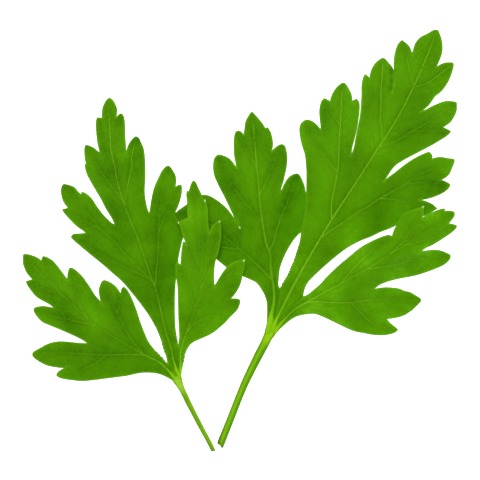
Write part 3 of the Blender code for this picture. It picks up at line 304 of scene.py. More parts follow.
SMALL_LEFT_HEIGHTS = (
    (-0.5, 6, 2.7), (-1.2, 10, 3.3), (-2.2, 18, 4), (-1.8, 26, 3.3), (-1.2, 32, 2), (0, 39.6, 0.34), (-4, 6.5, 2.2),
    (-7, 9.2, 1.9), (-12, 14.2, 1.2), (-14.9, 19.4, 0.34), (-14.6, 25.8, 0.34), (-10, 23.8, 1.4), (-8, 17.5, 2.5),
    (-8, 30, 1), (-7.2, 31.2, 0.9), (-3.9, 35.6, 1), (1.5, 9, 2.7), (4, 13.5, 2), (7.1, 19.4, 1.1), (5.5, 23.7, 1),
    (2.6, 19.5, 2.4), (3.9, 29.3, 1.1), (2.6, 35, 1), (1.2, 8.2, 2.7),
)
SMALL_RIGHT_HEIGHTS = (
    (0.2, 5, 2.6), (1.2, 10.5, 3.3), (2.6, 16, 4), (3, 22, 4.1), (2.5, 30, 3), (0.9, 39, 1.7), (4, 8, 3),
    (9.2, 12.2, 2.4), (11, 15.5, 2.4), (7, 16, 3.6), (11.7, 23.2, 3.3), (9.5, 20, 3.6), (6.5, 31, 2.2),
    (5.8, 26, 3.5), (-1.7, 30.5, 2.8), (-0.8, 25.5, 3.6), (-1.7, 22.4, 3.5), (-0.9, 14, 3.3), (-0.3, 37, 1.8),
    (3.3, 35.3, 1.8), (0.1, 32, 2.8),
)

# Veins drawn on each leaflet, in its own frame
LARGE_MIDDLE_VEINS = (
    Vein(0.64, 0.26, (
        (0.8, -2.3), (0.77, -1.5), (0.33, 1.55), (0.16, 6.7), (0.04, 10), (0.3, 23.3), (1.15, 35),
        (1.45, 39.8), (2.1, 49.5), (1.6, 59.8), (1.35, 61.8), (1.1, 64.3),
        (0.5, 67.6)), (0.8, 0.75, 0.7, 0.75)),
    Vein(0.36, 0.18, (
        (0.36, 24.4), (-0.25, 25.5), (-1.05, 26.9), (-3.3, 33.6), (-4.7, 36.7), (-6.1, 39.4), (-7.8, 43.2),
        (-8.9, 45.4), (-10.6, 49.1)), (0.8, 0.65, 1, 0.85)),
    Vein(0.31, 0.22, (
        (1.74, 43.1), (0.2, 45.4), (-0.9, 47), (-2, 49.3), (-3.4, 51.8), (-4.2, 53.7),
        (-5.9, 57.2)), (0.45, 0.65, 0.75, 0.9)),
    Vein(0.2, 0.1, ((1.9, 55.9), (1.05, 56.5), (-1.4, 59.3), (-2.55, 60.9), (-3.9, 62.1)), (0.35, 1, 0.9)),
    Vein(0.18, 0.08, ((-3.3, 33.4), (-9.6, 36.1), (-11.4, 36.9), (-12.7, 38.2))),
    Vein(0.15, 0.08, ((-7.2, 41.8), (-8.6, 42.6), (-11.9, 44.3))),
    Vein(0.28, 0.10, (
        (0.22, 20.2), (1.4, 22.8), (2.55, 25), (3.9, 27.8), (5.6, 30.6), (6.7, 32.8), (9.8, 37.8),
        (11.3, 40.9), (13, 42.9), (15.7, 46.3)), (0.7, 1)),
    Vein(0.18, 0.08, ((6.7, 32.8), (9, 33.9), (11.6, 34.7), (16.7, 36.4))),
    Vein(0.16, 0.08, ((9.8, 37.8), (11.8, 39.2), (14, 40.4), (16.4, 41.5))),
    Vein(0.25, 0.13, (
        (1.65, 41.8), (3, 43.2), (4.4, 45.1), (5.8, 47.6), (7.2, 49.8), (10.5, 56.2)), (0.3, 0.25, 0.2, 0.9)),
    Vein(0.14, 0.07, ((5.8, 47.6), (7.8, 48.9), (11.9, 51))),
    Vein(0.24, 0.18, ((1.86, 55.2), (4.3, 58.2), (6.1, 62.3), (6.6, 63.3)), (0.2, 0.6, 0.7, 0.7)),
)
LARGE_LEFT_VEINS = (
    Vein(0.90, 0.18, (
        (-1.1, -2.6), (-0.48, -0.76), (-0.3, 0.22), (0.28, 2.2), (1.15, 5.5), (0.88, 11.6), (0.94, 14.6),
        (0.4, 16.35), (-0.24, 24.9), (-0.24, 27.8), (-0.3, 33.7), (-0.24, 36.6),
        (-0.4, 42.2)), (0.8, 0.3, 0.5, 0.85)),
    Vein(0.26, 0.10, (
        (0.94, 15), (1.9, 16.9), (2.6, 19), (4.1, 22.4), (5, 24), (7.4, 29.1)), (0.75, 0.75, 0.55, 0.1)),
    Vein(0.18, 0.09, ((-0.2, 26.4), (0.7, 27.8), (3.65, 33.4), (4.8, 35.4))),
    Vein(0.24, 0.10, (
        (0, 20.5), (-2.2, 23.7), (-3.4, 25.2), (-4.4, 26.9), (-5.5, 28.7), (-7.1, 32.2),
        (-7.7, 34)), (0, 0.35, 0)),
    Vein(0.16, 0.08, ((-0.3, 31.5), (-1.3, 34), (-2.6, 36.8), (-3.4, 38.8))),
    Vein(0.34, 0.10, (
        (1, 9), (-0.76, 11.35), (-1.8, 12.5), (-2.8, 13.7), (-6.4, 17.2), (-9.8, 20.7), (-11.8, 22.3),
        (-13.8, 23.3), (-16.2, 23.7)), (0.4, 0, 0, 0)),
    Vein(0.24, 0.16, ((-5.03, 15.9), (-6.4, 16.1), (-11.05, 17.1)), (0.4, 0.45, 1)),
    Vein(0.14, 0.07, ((-5.2, 16.1), (-5.3, 17.4), (-4.75, 19.8))),
)
LARGE_RIGHT_VEINS = (
    Vein(0.50, 0.16, (
        (1.9, -1.4), (1.18, 0.49), (0.45, 2.04), (-0.65, 5.7), (-0.67, 8.4), (-0.73, 12.7), (-0.64, 16.3),
        (-0.73, 19.3), (-0.73, 23), (-1.3, 32.4), (-1.5, 38.4), (-1.9, 42.4)), (0.75, 0.4, 0.25, 0)),
    Vein(0.18, 0.09, ((-1.03, 27.8), (-1.64, 30.2), (-2.24, 31.8), (-4.06, 34.8), (-5, 36.6), (-5.9, 37.8))),
    Vein(0.25, 0.14, (
        (-0.7, 16.3), (-2.55, 21.5), (-3.15, 24.2), (-3.8, 26.6), (-4.3, 29)), (0.45, 0.8, 0.4, 0)),
    Vein(0.22, 0.10, ((-0.73, 22.2), (1.4, 27.8), (2, 30.2), (3.8, 35.4), (4.8, 37.7)), (0.7, 0.65)),
    Vein(0.15, 0.08, ((-1.2, 31.2), (-0.5, 33.8), (0.1, 36.8), (0.4, 39.4), (0.5, 41.6))),
    Vein(0.26, 0.10, (
        (-0.65, 8.6), (0.2, 10.5), (1.1, 11.8), (2.15, 13.6), (3.06, 15.1), (5.9, 21.8),
        (9.6, 28.1)), (0.85, 0.9)),
    Vein(0.22, 0.13, (
        (3.6, 16.3), (5.03, 16.6), (6.85, 17.2), (9, 17.8), (10.8, 19.3), (12.5, 21.1)), (0.5, 0.6, 0.6, 0)),
)
SMALL_MIDDLE_VEINS = (
    Vein(0.46, 0.18, (
        (-0.33, -2.08), (-0.2, 0.5), (-0.36, 1.3), (-0.38, 2.5), (-0.49, 4.2), (-0.36, 5.5), (-0.45, 7),
        (-0.55, 10.75), (-0.4, 18), (-0.7, 20.75), (-1.5, 30.5), (-1.8, 31.9), (-2.4, 38.6), (-2.4, 41.3),
        (-2.2, 44.1), (-2.1, 47.4), (-1.5, 50.5), (-0.5, 56.4)), (0.45, 0.25, 0.55, 1)),
    Vein(0.24, 0.10, (
        (-0.65, 19.6), (-1.75, 21.75), (-2.4, 22.75), (-3.5, 24.75), (-5, 27.25), (-5.75, 29), (-7, 30.75),
        (-8.06, 32.4), (-9.2, 34.9), (-10.6, 37.7), (-12.6, 42.4)), (0.15, 0.15, 0.4, 0)),
    Vein(0.20, 0.09, ((-2.2, 36.4), (-4.9, 43), (-6.7, 48.7)), (0.35, 0.4, 1, 1)),
    Vein(0.16, 0.08, ((-0.9, 20.25), (-6, 24.5), (-9.5, 27.8), (-12.5, 31))),
    Vein(0.14, 0.07, ((-8.06, 32.4), (-13.8, 37.7))),
    Vein(0.26, 0.18, (
        (-2.2, 36), (-1.5, 37.7), (0.4, 41.6), (1.1, 43), (1.5, 44.7), (3.1, 48)), (0.2, 0.75, 0.65, 0.75)),
    Vein(0.20, 0.09, (
        (-0.5, 18.6), (0, 19.75), (0.6, 21.5), (2, 25.25), (2.9, 28.75), (3.4, 30.25), (4.2, 33), (5.1, 34.9),
        (6.1, 37.4), (7.6, 40.3)), (0.65, 1, 1)),
    Vein(0.14, 0.07, ((2.9, 28.75), (4.6, 31.2), (9, 36.2))),
    Vein(0.13, 0.07, ((-2.2, 44.1), (-2.9, 47.5), (-3.3, 50.6), (-3.3, 53.2))),
    Vein(0.13, 0.07, ((-2.1, 46), (0, 50.9), (1.2, 53))),
)
SMALL_LEFT_VEINS = (
    Vein(0.44, 0.16, (
        (-1.25, -1.16), (-0.85, 1.1), (-0.43, 3.1), (-0.42, 5.6), (-0.8, 7.1), (-1.9, 15.5), (-2.3, 18.5),
        (-2.3, 21), (-2, 24), (-1.4, 29.7), (-0.1, 38.8)), (0.75, 0, 0, 0.25)),
    Vein(0.28, 0.14, ((-1.1, 8.3), (-2.2, 10), (-5.7, 14.4), (-9.8, 20.3), (-13.35, 25)), (0.4, 0, 0.2, 0)),
    Vein(0.2, 0.12, ((-5.7, 14.3), (-6.75, 14.5), (-9.4, 15.5), (-11, 16.5)), (0.2, 0.7, 1)),
    Vein(0.16, 0.08, ((-2.3, 19.5), (-3.3, 21.8), (-6, 27.5), (-7, 30.3))),
    Vein(0.18, 0.09, ((-0.95, 8.4), (-0.1, 12.4), (0.9, 14.7), (3.7, 20.6), (5.3, 23.2)), (0.6, 0.6, 0)),
    Vein(0.13, 0.07, ((2.2, 17.6), (6.6, 19.4))),
    Vein(0.16, 0.08, ((-2.2, 21.6), (-0.9, 24.8), (0.6, 26.6), (3.4, 30.2))),
    Vein(0.13, 0.07, ((-1.5, 28.6), (-3.6, 34.8))),
    Vein(0.13, 0.07, ((-1.3, 30), (0, 32.6), (1.8, 35.8))),
)
SMALL_RIGHT_VEINS = (
    Vein(0.40, 0.10, (
        (-0.1, -1.8), (-0.15, -0.6), (0.02, 0.4), (-0.1, 4.6), (0.05, 5.8), (2.8, 15), (3.3, 17.6),
        (3.2, 22.2), (2.65, 25.6), (2.2, 29), (1.6, 33), (1, 38.3)), (0.5, 0.5, 0, 0)),
    Vein(0.14, 0.07, ((3.3, 21.4), (3.3, 26), (3.1, 34.9))),
    Vein(0.16, 0.08, ((3.3, 17.6), (4.7, 21), (5.9, 26), (6.3, 30.5))),
    Vein(0.18, 0.08, ((1.9, 12), (3.6, 16), (9, 21), (11.2, 23)), (0.2, 1)),
    Vein(0.18, 0.08, ((0.8, 8.5), (1.9, 10.2), (3.3, 11.3), (6, 12.5), (10.3, 15.2))),
    Vein(0.14, 0.07, ((3.3, 18), (2, 21.6), (0.7, 24.6), (0, 27.5), (-1.4, 30.1))),
    Vein(0.13, 0.07, ((2.4, 13.8), (1.2, 16.8), (-0.2, 19.8), (-1.4, 22))),
)


# Stalks: (across, along, width, thickness, height of the axis), in the stalk's own frame
LARGE_STALK = (
    (0.45, 2.3, 2.6, 0.2, 2.34), (0.44, 1.5, 3.4, 0.28, 2.48), (0.41, 0.75, 3.2, 0.44, 2.58),
    (0.38, 0, 2.85, 0.66, 2.55), (0.34, -0.8, 2.5, 0.92, 2.42), (0.34, -1.6, 2.14, 1.12, 2.28),
    (0.29, -2.5, 1.88, 1.25, 2.1), (0.27, -3.4, 1.84, 1.3, 1.92), (0.22, -4.4, 1.81, 1.3, 1.72),
    (0.11, -6.1, 1.75, 1.3, 1.42), (-0.05, -9.6, 1.63, 1.3, 0.98), (-0.13, -12.9, 1.52, 1.24, 0.75),
    (-0.03, -16.2, 1.46, 1.2, 0.65), (0.16, -20.1, 1.47, 1.2, 0.62), (0.29, -23.4, 1.5, 1.2, 0.62),
    (0.4, -26.1, 1.51, 1.2, 0.62),
)
SMALL_STALK = (
    (-0.82, 1.3, 1.9, 0.2, 1.74), (-0.83, 0.6, 2.4, 0.3, 1.88), (-0.8, 0, 2.1, 0.48, 1.95),
    (-0.8, -0.54, 1.95, 0.64, 1.92), (-0.78, -1.06, 1.72, 0.8, 1.84), (-0.77, -1.55, 1.52, 0.88, 1.75),
    (-0.75, -2.1, 1.33, 0.94, 1.62), (-0.74, -2.55, 1.24, 0.95, 1.5), (-0.72, -3.2, 1.17, 0.93, 1.34),
    (-0.68, -4, 1.16, 0.92, 1.17), (-0.67, -5.2, 1.13, 0.9, 0.97), (-0.55, -7.5, 1.06, 0.84, 0.66),
    (-0.43, -9.65, 1.01, 0.79, 0.46), (-0.28, -11.8, 0.98, 0.76, 0.4), (-0.11, -14, 0.93, 0.72, 0.37),
    (0.01, -16.5, 0.89, 0.7, 0.37),
)


def smoothstep(value: Array, low: float, high: float) -> Array:
    """Return numbers eased from 0 at low to 1 at high."""
    share = np.clip((value - low) / (high - low), 0, 1)
    return share * share * (3 - 2 * share)


def bell(gap: Array, reach: float | Array) -> Array:
    """Return 1 where the gap is none, fading to 0 past its reach."""
    return np.exp(-((gap / reach) ** 2))


def curve_point(p0: Array, p1: Array, p2: Array, p3: Array, share: float) -> Array:
    """Find a point of the centripetal curve through four points.

    Args:
        p0, p1, p2, p3: the points; the span is from p1 to p2.
        share: how far along the span, from 0 to 1.

    Returns:
        The point.
    """
    t1 = max(float(np.linalg.norm(p1 - p0)), 1e-6) ** 0.5
    t2 = t1 + max(float(np.linalg.norm(p2 - p1)), 1e-6) ** 0.5
    t3 = t2 + max(float(np.linalg.norm(p3 - p2)), 1e-6) ** 0.5
    t = t1 + (t2 - t1) * share
    a1 = (t1 - t) / t1 * p0 + t / t1 * p1
    a2 = (t2 - t) / (t2 - t1) * p1 + (t - t1) / (t2 - t1) * p2
    a3 = (t3 - t) / (t3 - t2) * p2 + (t - t2) / (t3 - t2) * p3
    b1 = (t2 - t) / t2 * a1 + t / t2 * a2
    b2 = (t3 - t) / (t3 - t1) * a2 + (t - t1) / (t3 - t1) * a3
    return (t2 - t) / (t2 - t1) * b1 + (t - t1) / (t2 - t1) * b2


def smooth_line(points: Iterable[Sequence[float]], step: float) -> Array:
    """Draw an open curve through rows of numbers.

    Args:
        points: rows whose first two numbers are a place.
        step: distance between samples.

    Returns:
        Samples, one row each.
    """
    rows = np.array(list(points), float)
    rows = np.vstack([2 * rows[0] - rows[1], rows, 2 * rows[-1] - rows[-2]])
    samples = []
    for i in range(1, len(rows) - 2):
        parts = max(1, round(float(np.linalg.norm(rows[i + 1][:2] - rows[i][:2])) / step))
        samples += [curve_point(*rows[i - 1:i + 3], k / parts) for k in range(parts)]
    samples.append(rows[-2])
    return np.array(samples)


def frame_of(line: Array) -> tuple[Array, Array]:
    """Return the unit direction of a flat line at each of its points, and the unit vector to its right."""
    way = np.gradient(line[:, :2], axis=0)
    way /= np.maximum(np.linalg.norm(way, axis=1), 1e-9)[:, None]
    return way, np.stack([way[:, 1], -way[:, 0]], 1)


def run_length(line: Array) -> Array:
    """Return how far along a flat line each of its points lies."""
    return np.concatenate([[0], np.cumsum(np.linalg.norm(np.diff(line[:, :2], axis=0), axis=1))])


@dataclass(frozen=True)
class Placement:
    """Where a flat frame lies in the bunch: its fork, and its turn clockwise from +Y."""

    fork: Flat
    degrees: float

    def turned(self) -> Array:
        """Return the matrix that turns across and along into x and y."""
        turn = math.radians(self.degrees)
        return np.array([[math.cos(turn), -math.sin(turn)], [math.sin(turn), math.cos(turn)]])

    def to_bunch(self, points: Array) -> Array:
        """Return the x and y of (across, along) points."""
        return points[:, :2] @ self.turned() + self.fork

    def to_own(self, points: Array) -> Array:
        """Return the across and along of (x, y) points."""
        return (points[:, :2] - self.fork) @ self.turned().T


def tree_of(points: Array) -> KDTree:
    """Index flat points for quick search.

    Args:
        points: rows whose first two numbers are a place.

    Returns:
        The tree.
    """
    tree = KDTree(len(points))
    for i, (x, y) in enumerate(points[:, :2]):
        tree.insert((x, y, 0.0), i)
    tree.balance()
    return tree


class Strands:
    """Finds the nearest place on a set of lines."""

    NEIGHBOURS = 5

    def __init__(self, lines: Sequence[Array]) -> None:
        """Index the lines.

        Args:
            lines: arrays of rows, the first two numbers a place and the rest carried along.
        """
        self.starts = np.vstack([line[:-1] for line in lines])
        self.ends = np.vstack([line[1:] for line in lines])
        self.tree = tree_of(0.5 * (self.starts + self.ends))

    def nearest(self, points: Array) -> tuple[Array, Array]:
        """Measure each point's gap to the lines.

        Args:
            points: rows whose first two numbers are a place.

        Returns:
            The gaps, and the carried numbers at the nearest places.
        """
        count = min(self.NEIGHBOURS, len(self.starts))
        picks = np.array([[hit[1] for hit in self.tree.find_n((p[0], p[1], 0.0), count)] for p in points])
        start, end = self.starts[picks], self.ends[picks]
        run = (end - start)[..., :2]
        offset = points[:, None, :2] - start[..., :2]
        share = np.clip((offset * run).sum(2) / np.maximum((run * run).sum(2), 1e-12), 0, 1)[..., None]
        gaps = np.linalg.norm(offset - share * run, axis=2)
        carried = start[..., 2:] + share * (end - start)[..., 2:]
        rows, best = np.arange(len(points)), gaps.argmin(1)
        return gaps[rows, best], carried[rows, best]


class HeightField:
    """Thin-plate surface through a leaflet's named heights, level with its fork near the fork."""

    def __init__(self, heights: Sequence[Sequence[float]], fork_height: float) -> None:
        """Fit the surface.

        Args:
            heights: rows of across, along and height.
            fork_height: height of the upper surface at the fork.
        """
        table = np.array(heights, float)
        self.places = table[:, :2]
        self.fork_height = fork_height
        count = len(table)
        system = np.zeros((count + 3, count + 3))
        system[:count, :count] = self.kernel(self.places)
        system[:count, count] = 1
        system[:count, count + 1:] = self.places
        system[count:, :count] = system[:count, count:].T
        self.weights = np.linalg.solve(system, np.concatenate([table[:, 2], np.zeros(3)]))

    def kernel(self, points: Array) -> Array:
        """Return how strongly each named place pulls on each point."""
        squared = ((points[:, None] - self.places[None]) ** 2).sum(2)
        return 0.5 * squared * np.log(squared + 1e-9)

    def at(self, points: Array) -> Array:
        """Read the surface.

        Args:
            points: rows of across and along.

        Returns:
            Heights above the table.
        """
        count = len(self.places)
        plate = self.kernel(points) @ self.weights[:count] + self.weights[count]
        plate = plate + points @ self.weights[count + 1:]
        radius = np.linalg.norm(points, axis=1)
        share = smoothstep(radius, *FORK_BLEND)
        return (1 - share) * (self.fork_height + FORK_RISE * radius) + share * plate


class Waves:
    """Gentle unevenness of a blade: a fixed sum of waves in all directions."""

    COUNT = 14

    def __init__(self, length: float, seed: int) -> None:
        """Draw the waves.

        Args:
            length: middle wavelength.
            seed: which drawing.
        """
        rng = np.random.default_rng(seed)
        turns = rng.uniform(0, 2 * math.pi, self.COUNT)
        pitch = 2 * math.pi / (length * rng.uniform(0.65, 1.6, self.COUNT))
        self.pull = np.stack([np.cos(turns), np.sin(turns)]) * pitch
        self.phase = rng.uniform(0, 2 * math.pi, self.COUNT)

    def at(self, points: Array) -> Array:
        """Return the waves' height at each point, mostly between -1 and 1."""
        return np.sin(points @ self.pull + self.phase).sum(1) / math.sqrt(self.COUNT)


class Cells:
    """Small fields between the finest veins, scattered over a blade."""

    def __init__(self, low: Array, high: Array, seed: int) -> None:
        """Scatter the fields' middles.

        Args:
            low, high: corners of the area.
            seed: which scatter.
        """
        rng = np.random.default_rng(seed)
        grid = hexagonal(low - CELL_PITCH, high + CELL_PITCH, CELL_PITCH)
        grid += rng.uniform(-0.32, 0.32, grid.shape) * CELL_PITCH
        self.tree = tree_of(grid)

    def fullness(self, points: Array) -> Array:
        """Return 0 on the lines between fields, rising to 1 inside them."""
        gaps = np.array([[hit[2] for hit in self.tree.find_n((x, y, 0.0), 2)] for x, y in points])
        return smoothstep(gaps[:, 1] - gaps[:, 0], 0, 0.55 * CELL_PITCH)


def hexagonal(low: Array, high: Array, pitch: float) -> Array:
    """Lay out evenly staggered points.

    Args:
        low, high: corners of the area.
        pitch: distance between neighbours.

    Returns:
        Rows of across and along.
    """
    rows = []
    rise = pitch * math.sqrt(3) / 2
    for row in range(int((high[1] - low[1]) / rise) + 1):
        across = np.arange(low[0] + (pitch / 2 if row % 2 else 0.0), high[0], pitch)
        rows.append(np.stack([across, np.full_like(across, low[1] + row * rise)], 1))
    return np.vstack(rows)


class Outline:
    """Closed edge of a leaflet: free margins, and hidden stretches where it joins its neighbours."""

    TOOTH = ((0.0, 0.0), (0.2, 0.2), (0.4, 0.62), (0.58, 0.92), (0.72, 1.0), (0.83, 0.72), (0.92, 0.22))

    def __init__(self, knots: Sequence[tuple], seam: Array | None, saws: Sequence[Saw], seed: int) -> None:
        """Draw the edge.

        Args:
            knots: points with their marks.
            seam: points that stand in for JOIN.
            saws: toothed stretches.
            seed: unevenness of the teeth.
        """
        points, marks = [], []
        for knot in knots:
            if knot is JOIN:
                points += list(seam)
                marks += [Knot.SEAM] * len(seam)
            else:
                points.append(np.array(knot[:2], float))
                marks.append(knot[2] if len(knot) > 2 else Knot.SMOOTH)
        samples, hidden = [], []
        count = len(points)
        for i in range(count):
            j = (i + 1) % count
            both = (marks[i], marks[j])
            covered = Knot.SEAM in both and Knot.SMOOTH not in both
            p1, p2 = points[i], points[j]
            p0 = 2 * p1 - p2 if marks[i] is not Knot.SMOOTH else points[i - 1]
            p3 = 2 * p2 - p1 if marks[j] is not Knot.SMOOTH else points[(i + 2) % count]
            parts = max(1, round(float(np.linalg.norm(p2 - p1)) / BLADE_STEP))
            for k in range(parts):
                samples.append(p1 + (p2 - p1) * k / parts if covered else curve_point(p0, p1, p2, p3, k / parts))
                hidden.append(covered)
        self.points = np.array(samples)
        self.hidden = np.array(hidden)
        way = np.roll(self.points, -1, 0) - np.roll(self.points, 1, 0)
        outward = np.stack([way[:, 1], -way[:, 0]], 1) / np.linalg.norm(way, axis=1)[:, None]
        self.points += OUTLINE_GROWTH * outward * ~self.hidden[:, None]
        self.low, self.high = self.points.min(0), self.points.max(0)
        self.rng = np.random.default_rng(seed)
        for saw in saws:
            self.cut_teeth(saw)

    def cut_teeth(self, saw: Saw) -> None:
        """Turn a stretch of the edge, which runs anticlockwise, into small teeth that point to the leaf tip.

        Args:
            saw: the stretch and its teeth.
        """
        first, last = sorted(int(np.linalg.norm(self.points - end, axis=1).argmin()) for end in (saw.start, saw.end))
        stretch = self.points[first:last + 1]
        _, outward = frame_of(stretch)
        gone = run_length(stretch)
        tipward = stretch[-1, 1] > stretch[0, 1]
        shares, rises = [], []
        for tooth in range(saw.number):
            height = saw.size * self.rng.uniform(0.55, 1.15)
            for share, rise in self.TOOTH:
                shares.append((tooth + (share if tipward else 1 - share)) / saw.number)
                rises.append(rise * height)
        order = np.argsort(shares)
        at = np.array(shares)[order] * gone[-1]
        place = np.stack([np.interp(at, gone, stretch[:, i]) for i in (0, 1)], 1)
        lean = np.stack([np.interp(at, gone, outward[:, i]) for i in (0, 1)], 1)
        place += lean * np.array(rises)[order][:, None]
        self.points = np.vstack([self.points[:first], place, self.points[last:]])
        self.hidden = np.concatenate([self.hidden[:first], np.zeros(len(place), bool), self.hidden[last:]])

    def margins(self) -> list[Array]:
        """Return the free stretches of the edge, each an open line."""
        count = len(self.points)
        start = next(i for i in range(count) if self.hidden[i - 1] and not self.hidden[i])
        order = (start + np.arange(count)) % count
        free = ~self.hidden[order]
        firsts = np.flatnonzero(free & ~np.roll(free, 1))
        return [self.points[order[i:i + 1 + int(free[i:].argmin())]] for i in firsts]

    def seams(self) -> list[Array]:
        """Return the hidden stretches as single segments."""
        ahead = np.roll(self.points, -1, 0)
        return [np.array([self.points[i], ahead[i]]) for i in np.flatnonzero(self.hidden)]

    def holds(self, points: Array) -> Array:
        """Tell which points lie inside.

        Args:
            points: rows of across and along.

        Returns:
            One truth for each point.
        """
        start, end = self.points, np.roll(self.points, -1, 0)
        rise = np.where(end[:, 1] == start[:, 1], 1e-9, end[:, 1] - start[:, 1])
        found = []
        for part in np.array_split(points, max(1, len(points) // 1500)):
            x, y = part[:, 0:1], part[:, 1:2]
            crosses = (start[:, 1] > y) != (end[:, 1] > y)
            at = start[:, 0] + (y - start[:, 1]) / rise * (end[:, 0] - start[:, 0])
            found.append((crosses & (x < at)).sum(1) % 2 == 1)
        return np.concatenate(found)


class Threads:
    """Grows the fine side veins that fill the spaces between the drawn ones."""

    STEP = 0.35
    SPACING = 1.7
    START_ANGLE = 55.0
    STRAIGHTENING = 4.0
    LONGEST = 7.0
    MARGIN_STOP = 0.30
    MEETING = 0.30
    BARE = 7.0
    ROOT_WIDTH = 0.10
    TIP_WIDTH = 0.05

    def __init__(self, outline: Outline, veins: Sequence[Array], margins: Strands, seed: int) -> None:
        """Prepare to grow.

        Args:
            outline: edge to stay inside.
            veins: lines to spring from.
            margins: the free margins.
            seed: which growth.
        """
        self.outline, self.veins, self.margins = outline, veins, margins
        self.rng = np.random.default_rng(seed)
        self.taken = np.vstack([line[:, :2] for line in veins])

    def grow(self) -> list[Array]:
        """Grow every thread.

        Returns:
            Lines with rows of across, along and width.
        """
        grown = []
        for line in self.veins:
            way, _ = frame_of(line)
            gone = run_length(line)
            at, hand = 2.2, 1
            while at < gone[-1] - 0.8:
                i = int(np.searchsorted(gone, at))
                for side in (hand, -hand):
                    thread = self.branch(line[i, :2], way[i], side)
                    if thread is not None:
                        grown.append(thread)
                hand = -hand
                at += self.SPACING * self.rng.uniform(0.7, 1.35)
        return grown

    def branch(self, root: Array, way: Array, side: int) -> Array | None:
        """Grow one thread.

        Args:
            root: where it springs.
            way: its parent's direction there.
            side: 1 for right, -1 for left.

        Returns:
            The thread, or None if it found no room.
        """
        angle = math.radians(self.START_ANGLE * self.rng.uniform(0.75, 1.2)) * -side
        head, path = root.copy(), [root.copy()]
        others = self.taken[np.linalg.norm(self.taken - root, axis=1) > 2.2 * self.STEP]
        longest = self.LONGEST * self.rng.uniform(0.5, 1.0)
        met = False
        for step in range(int(longest / self.STEP)):
            turned = angle * (1 - self.STRAIGHTENING * step / 90)
            turned += self.rng.normal(0, 0.09)
            heading = np.array([
                way[0] * math.cos(turned) - way[1] * math.sin(turned),
                way[0] * math.sin(turned) + way[1] * math.cos(turned)])
            head = head + heading * self.STEP
            gaps = np.linalg.norm(others - head, axis=1)
            if step > 1 and gaps.min() < self.MEETING:
                path.append(others[gaps.argmin()])
                met = True
                break
            if self.margins.nearest(head[None])[0][0] < self.MARGIN_STOP:
                break
            path.append(head.copy())
        if len(path) < 4 or np.linalg.norm(root) < self.BARE or not self.outline.holds(np.array(path[1:])).all():
            return None
        line = smooth_line(path[::2] + ([path[-1]] if len(path) % 2 == 0 else []), self.STEP)
        self.taken = np.vstack([self.taken, line])
        tip = 0.8 * self.ROOT_WIDTH if met else self.TIP_WIDTH
        return np.column_stack([line, np.linspace(self.ROOT_WIDTH, tip, len(line))])


class Wiring:
    """A node tree being wired."""

    def __init__(self, tree: bpy.types.NodeTree) -> None:
        """Take a tree, empty or not."""
        self.tree = tree

    def add(self, kind: str, settings: dict[str, Any] | None = None, **sockets: Any) -> bpy.types.Node:
        """Add a node.

        Args:
            kind: its type.
            settings: its own properties.
            sockets: values or links, by input name with underscores for blanks.

        Returns:
            The node.
        """
        node = self.tree.nodes.new(kind)
        for key, value in (settings or {}).items():
            setattr(node, key, value)
        for key, value in sockets.items():
            self.feed(node, key.replace("_", " "), value)
        return node

    def feed(self, node: bpy.types.Node, name: str | int, value: Any) -> None:
        """Set an input by name or number, or link it where the value is a socket."""
        socket = node.inputs[name]
        if isinstance(value, Socket):
            self.tree.links.new(value, socket)
        else:
            socket.default_value = value

    def math(self, operation: str, *values: Any, clamp: bool = False) -> Socket:
        """Add a Math node.

        Args:
            operation: what it does.
            values: its inputs.
            clamp: keep the result from 0 to 1.

        Returns:
            Its output.
        """
        node = self.add("ShaderNodeMath", {"operation": operation, "use_clamp": clamp})
        for i, value in enumerate(values):
            self.feed(node, i, value)
        return node.outputs[0]

    def ramp(self, value: Any, low: float, high: float, to_low: float = 0.0, to_high: float = 1.0) -> Socket:
        """Map a range to another smoothly.

        Args:
            value: what to map.
            low, high: its range.
            to_low, to_high: the range of the result.

        Returns:
            The mapped value.
        """
        node = self.add("ShaderNodeMapRange", {"interpolation_type": "SMOOTHSTEP"})
        for name, number in (("Value", value), ("From Min", low), ("From Max", high),
                             ("To Min", to_low), ("To Max", to_high)):
            self.feed(node, name, number)
        return node.outputs[0]

    def blend(self, share: Any, first: Any, second: Any) -> Socket:
        """Mix two colours.

        Args:
            share: how much of the second.
            first, second: colours or sockets.

        Returns:
            The mixed colour.
        """
        node = self.add("ShaderNodeMix", {"data_type": "RGBA"})
        for number, value in ((0, share), (6, first), (7, second)):
            self.feed(node, number, value)
        return node.outputs[2]

    def shades(self, value: Any, stops: Sequence[tuple[float, Sequence[float]]]) -> Socket:
        """Turn a number from 0 to 1 into a colour.

        Args:
            value: the number.
            stops: places from 0 to 1, in order, and their colours.

        Returns:
            The colour.
        """
        node = self.add("ShaderNodeValToRGB", Fac=value)
        ends = node.color_ramp.elements
        for end, (position, colour) in zip((ends[0], ends[1]), (stops[0], stops[-1])):
            end.position, end.color = position, colour
        for position, colour in stops[1:-1]:
            ends.new(position).color = colour
        return node.outputs[0]


def rgb(red: int, green: int, blue: int) -> Colour:
    """Turn a screen colour of 0 to 255 into the linear colour that shaders take."""
    def linear(c: float) -> float:
        """Undo the screen's curve for one channel."""
        return c / 12.92 if c <= 0.04045 else ((c + 0.055) / 1.055) ** 2.4
    return (linear(red / 255), linear(green / 255), linear(blue / 255), 1.0)


class Flesh(NamedTuple):
    """How a surface shines, how light enters it, and how strongly its finest relief shows."""

    gloss: float
    tint: Colour
    glow: float
    spread: tuple[float, float, float]
    depth: float
    strength: float
    relief: float


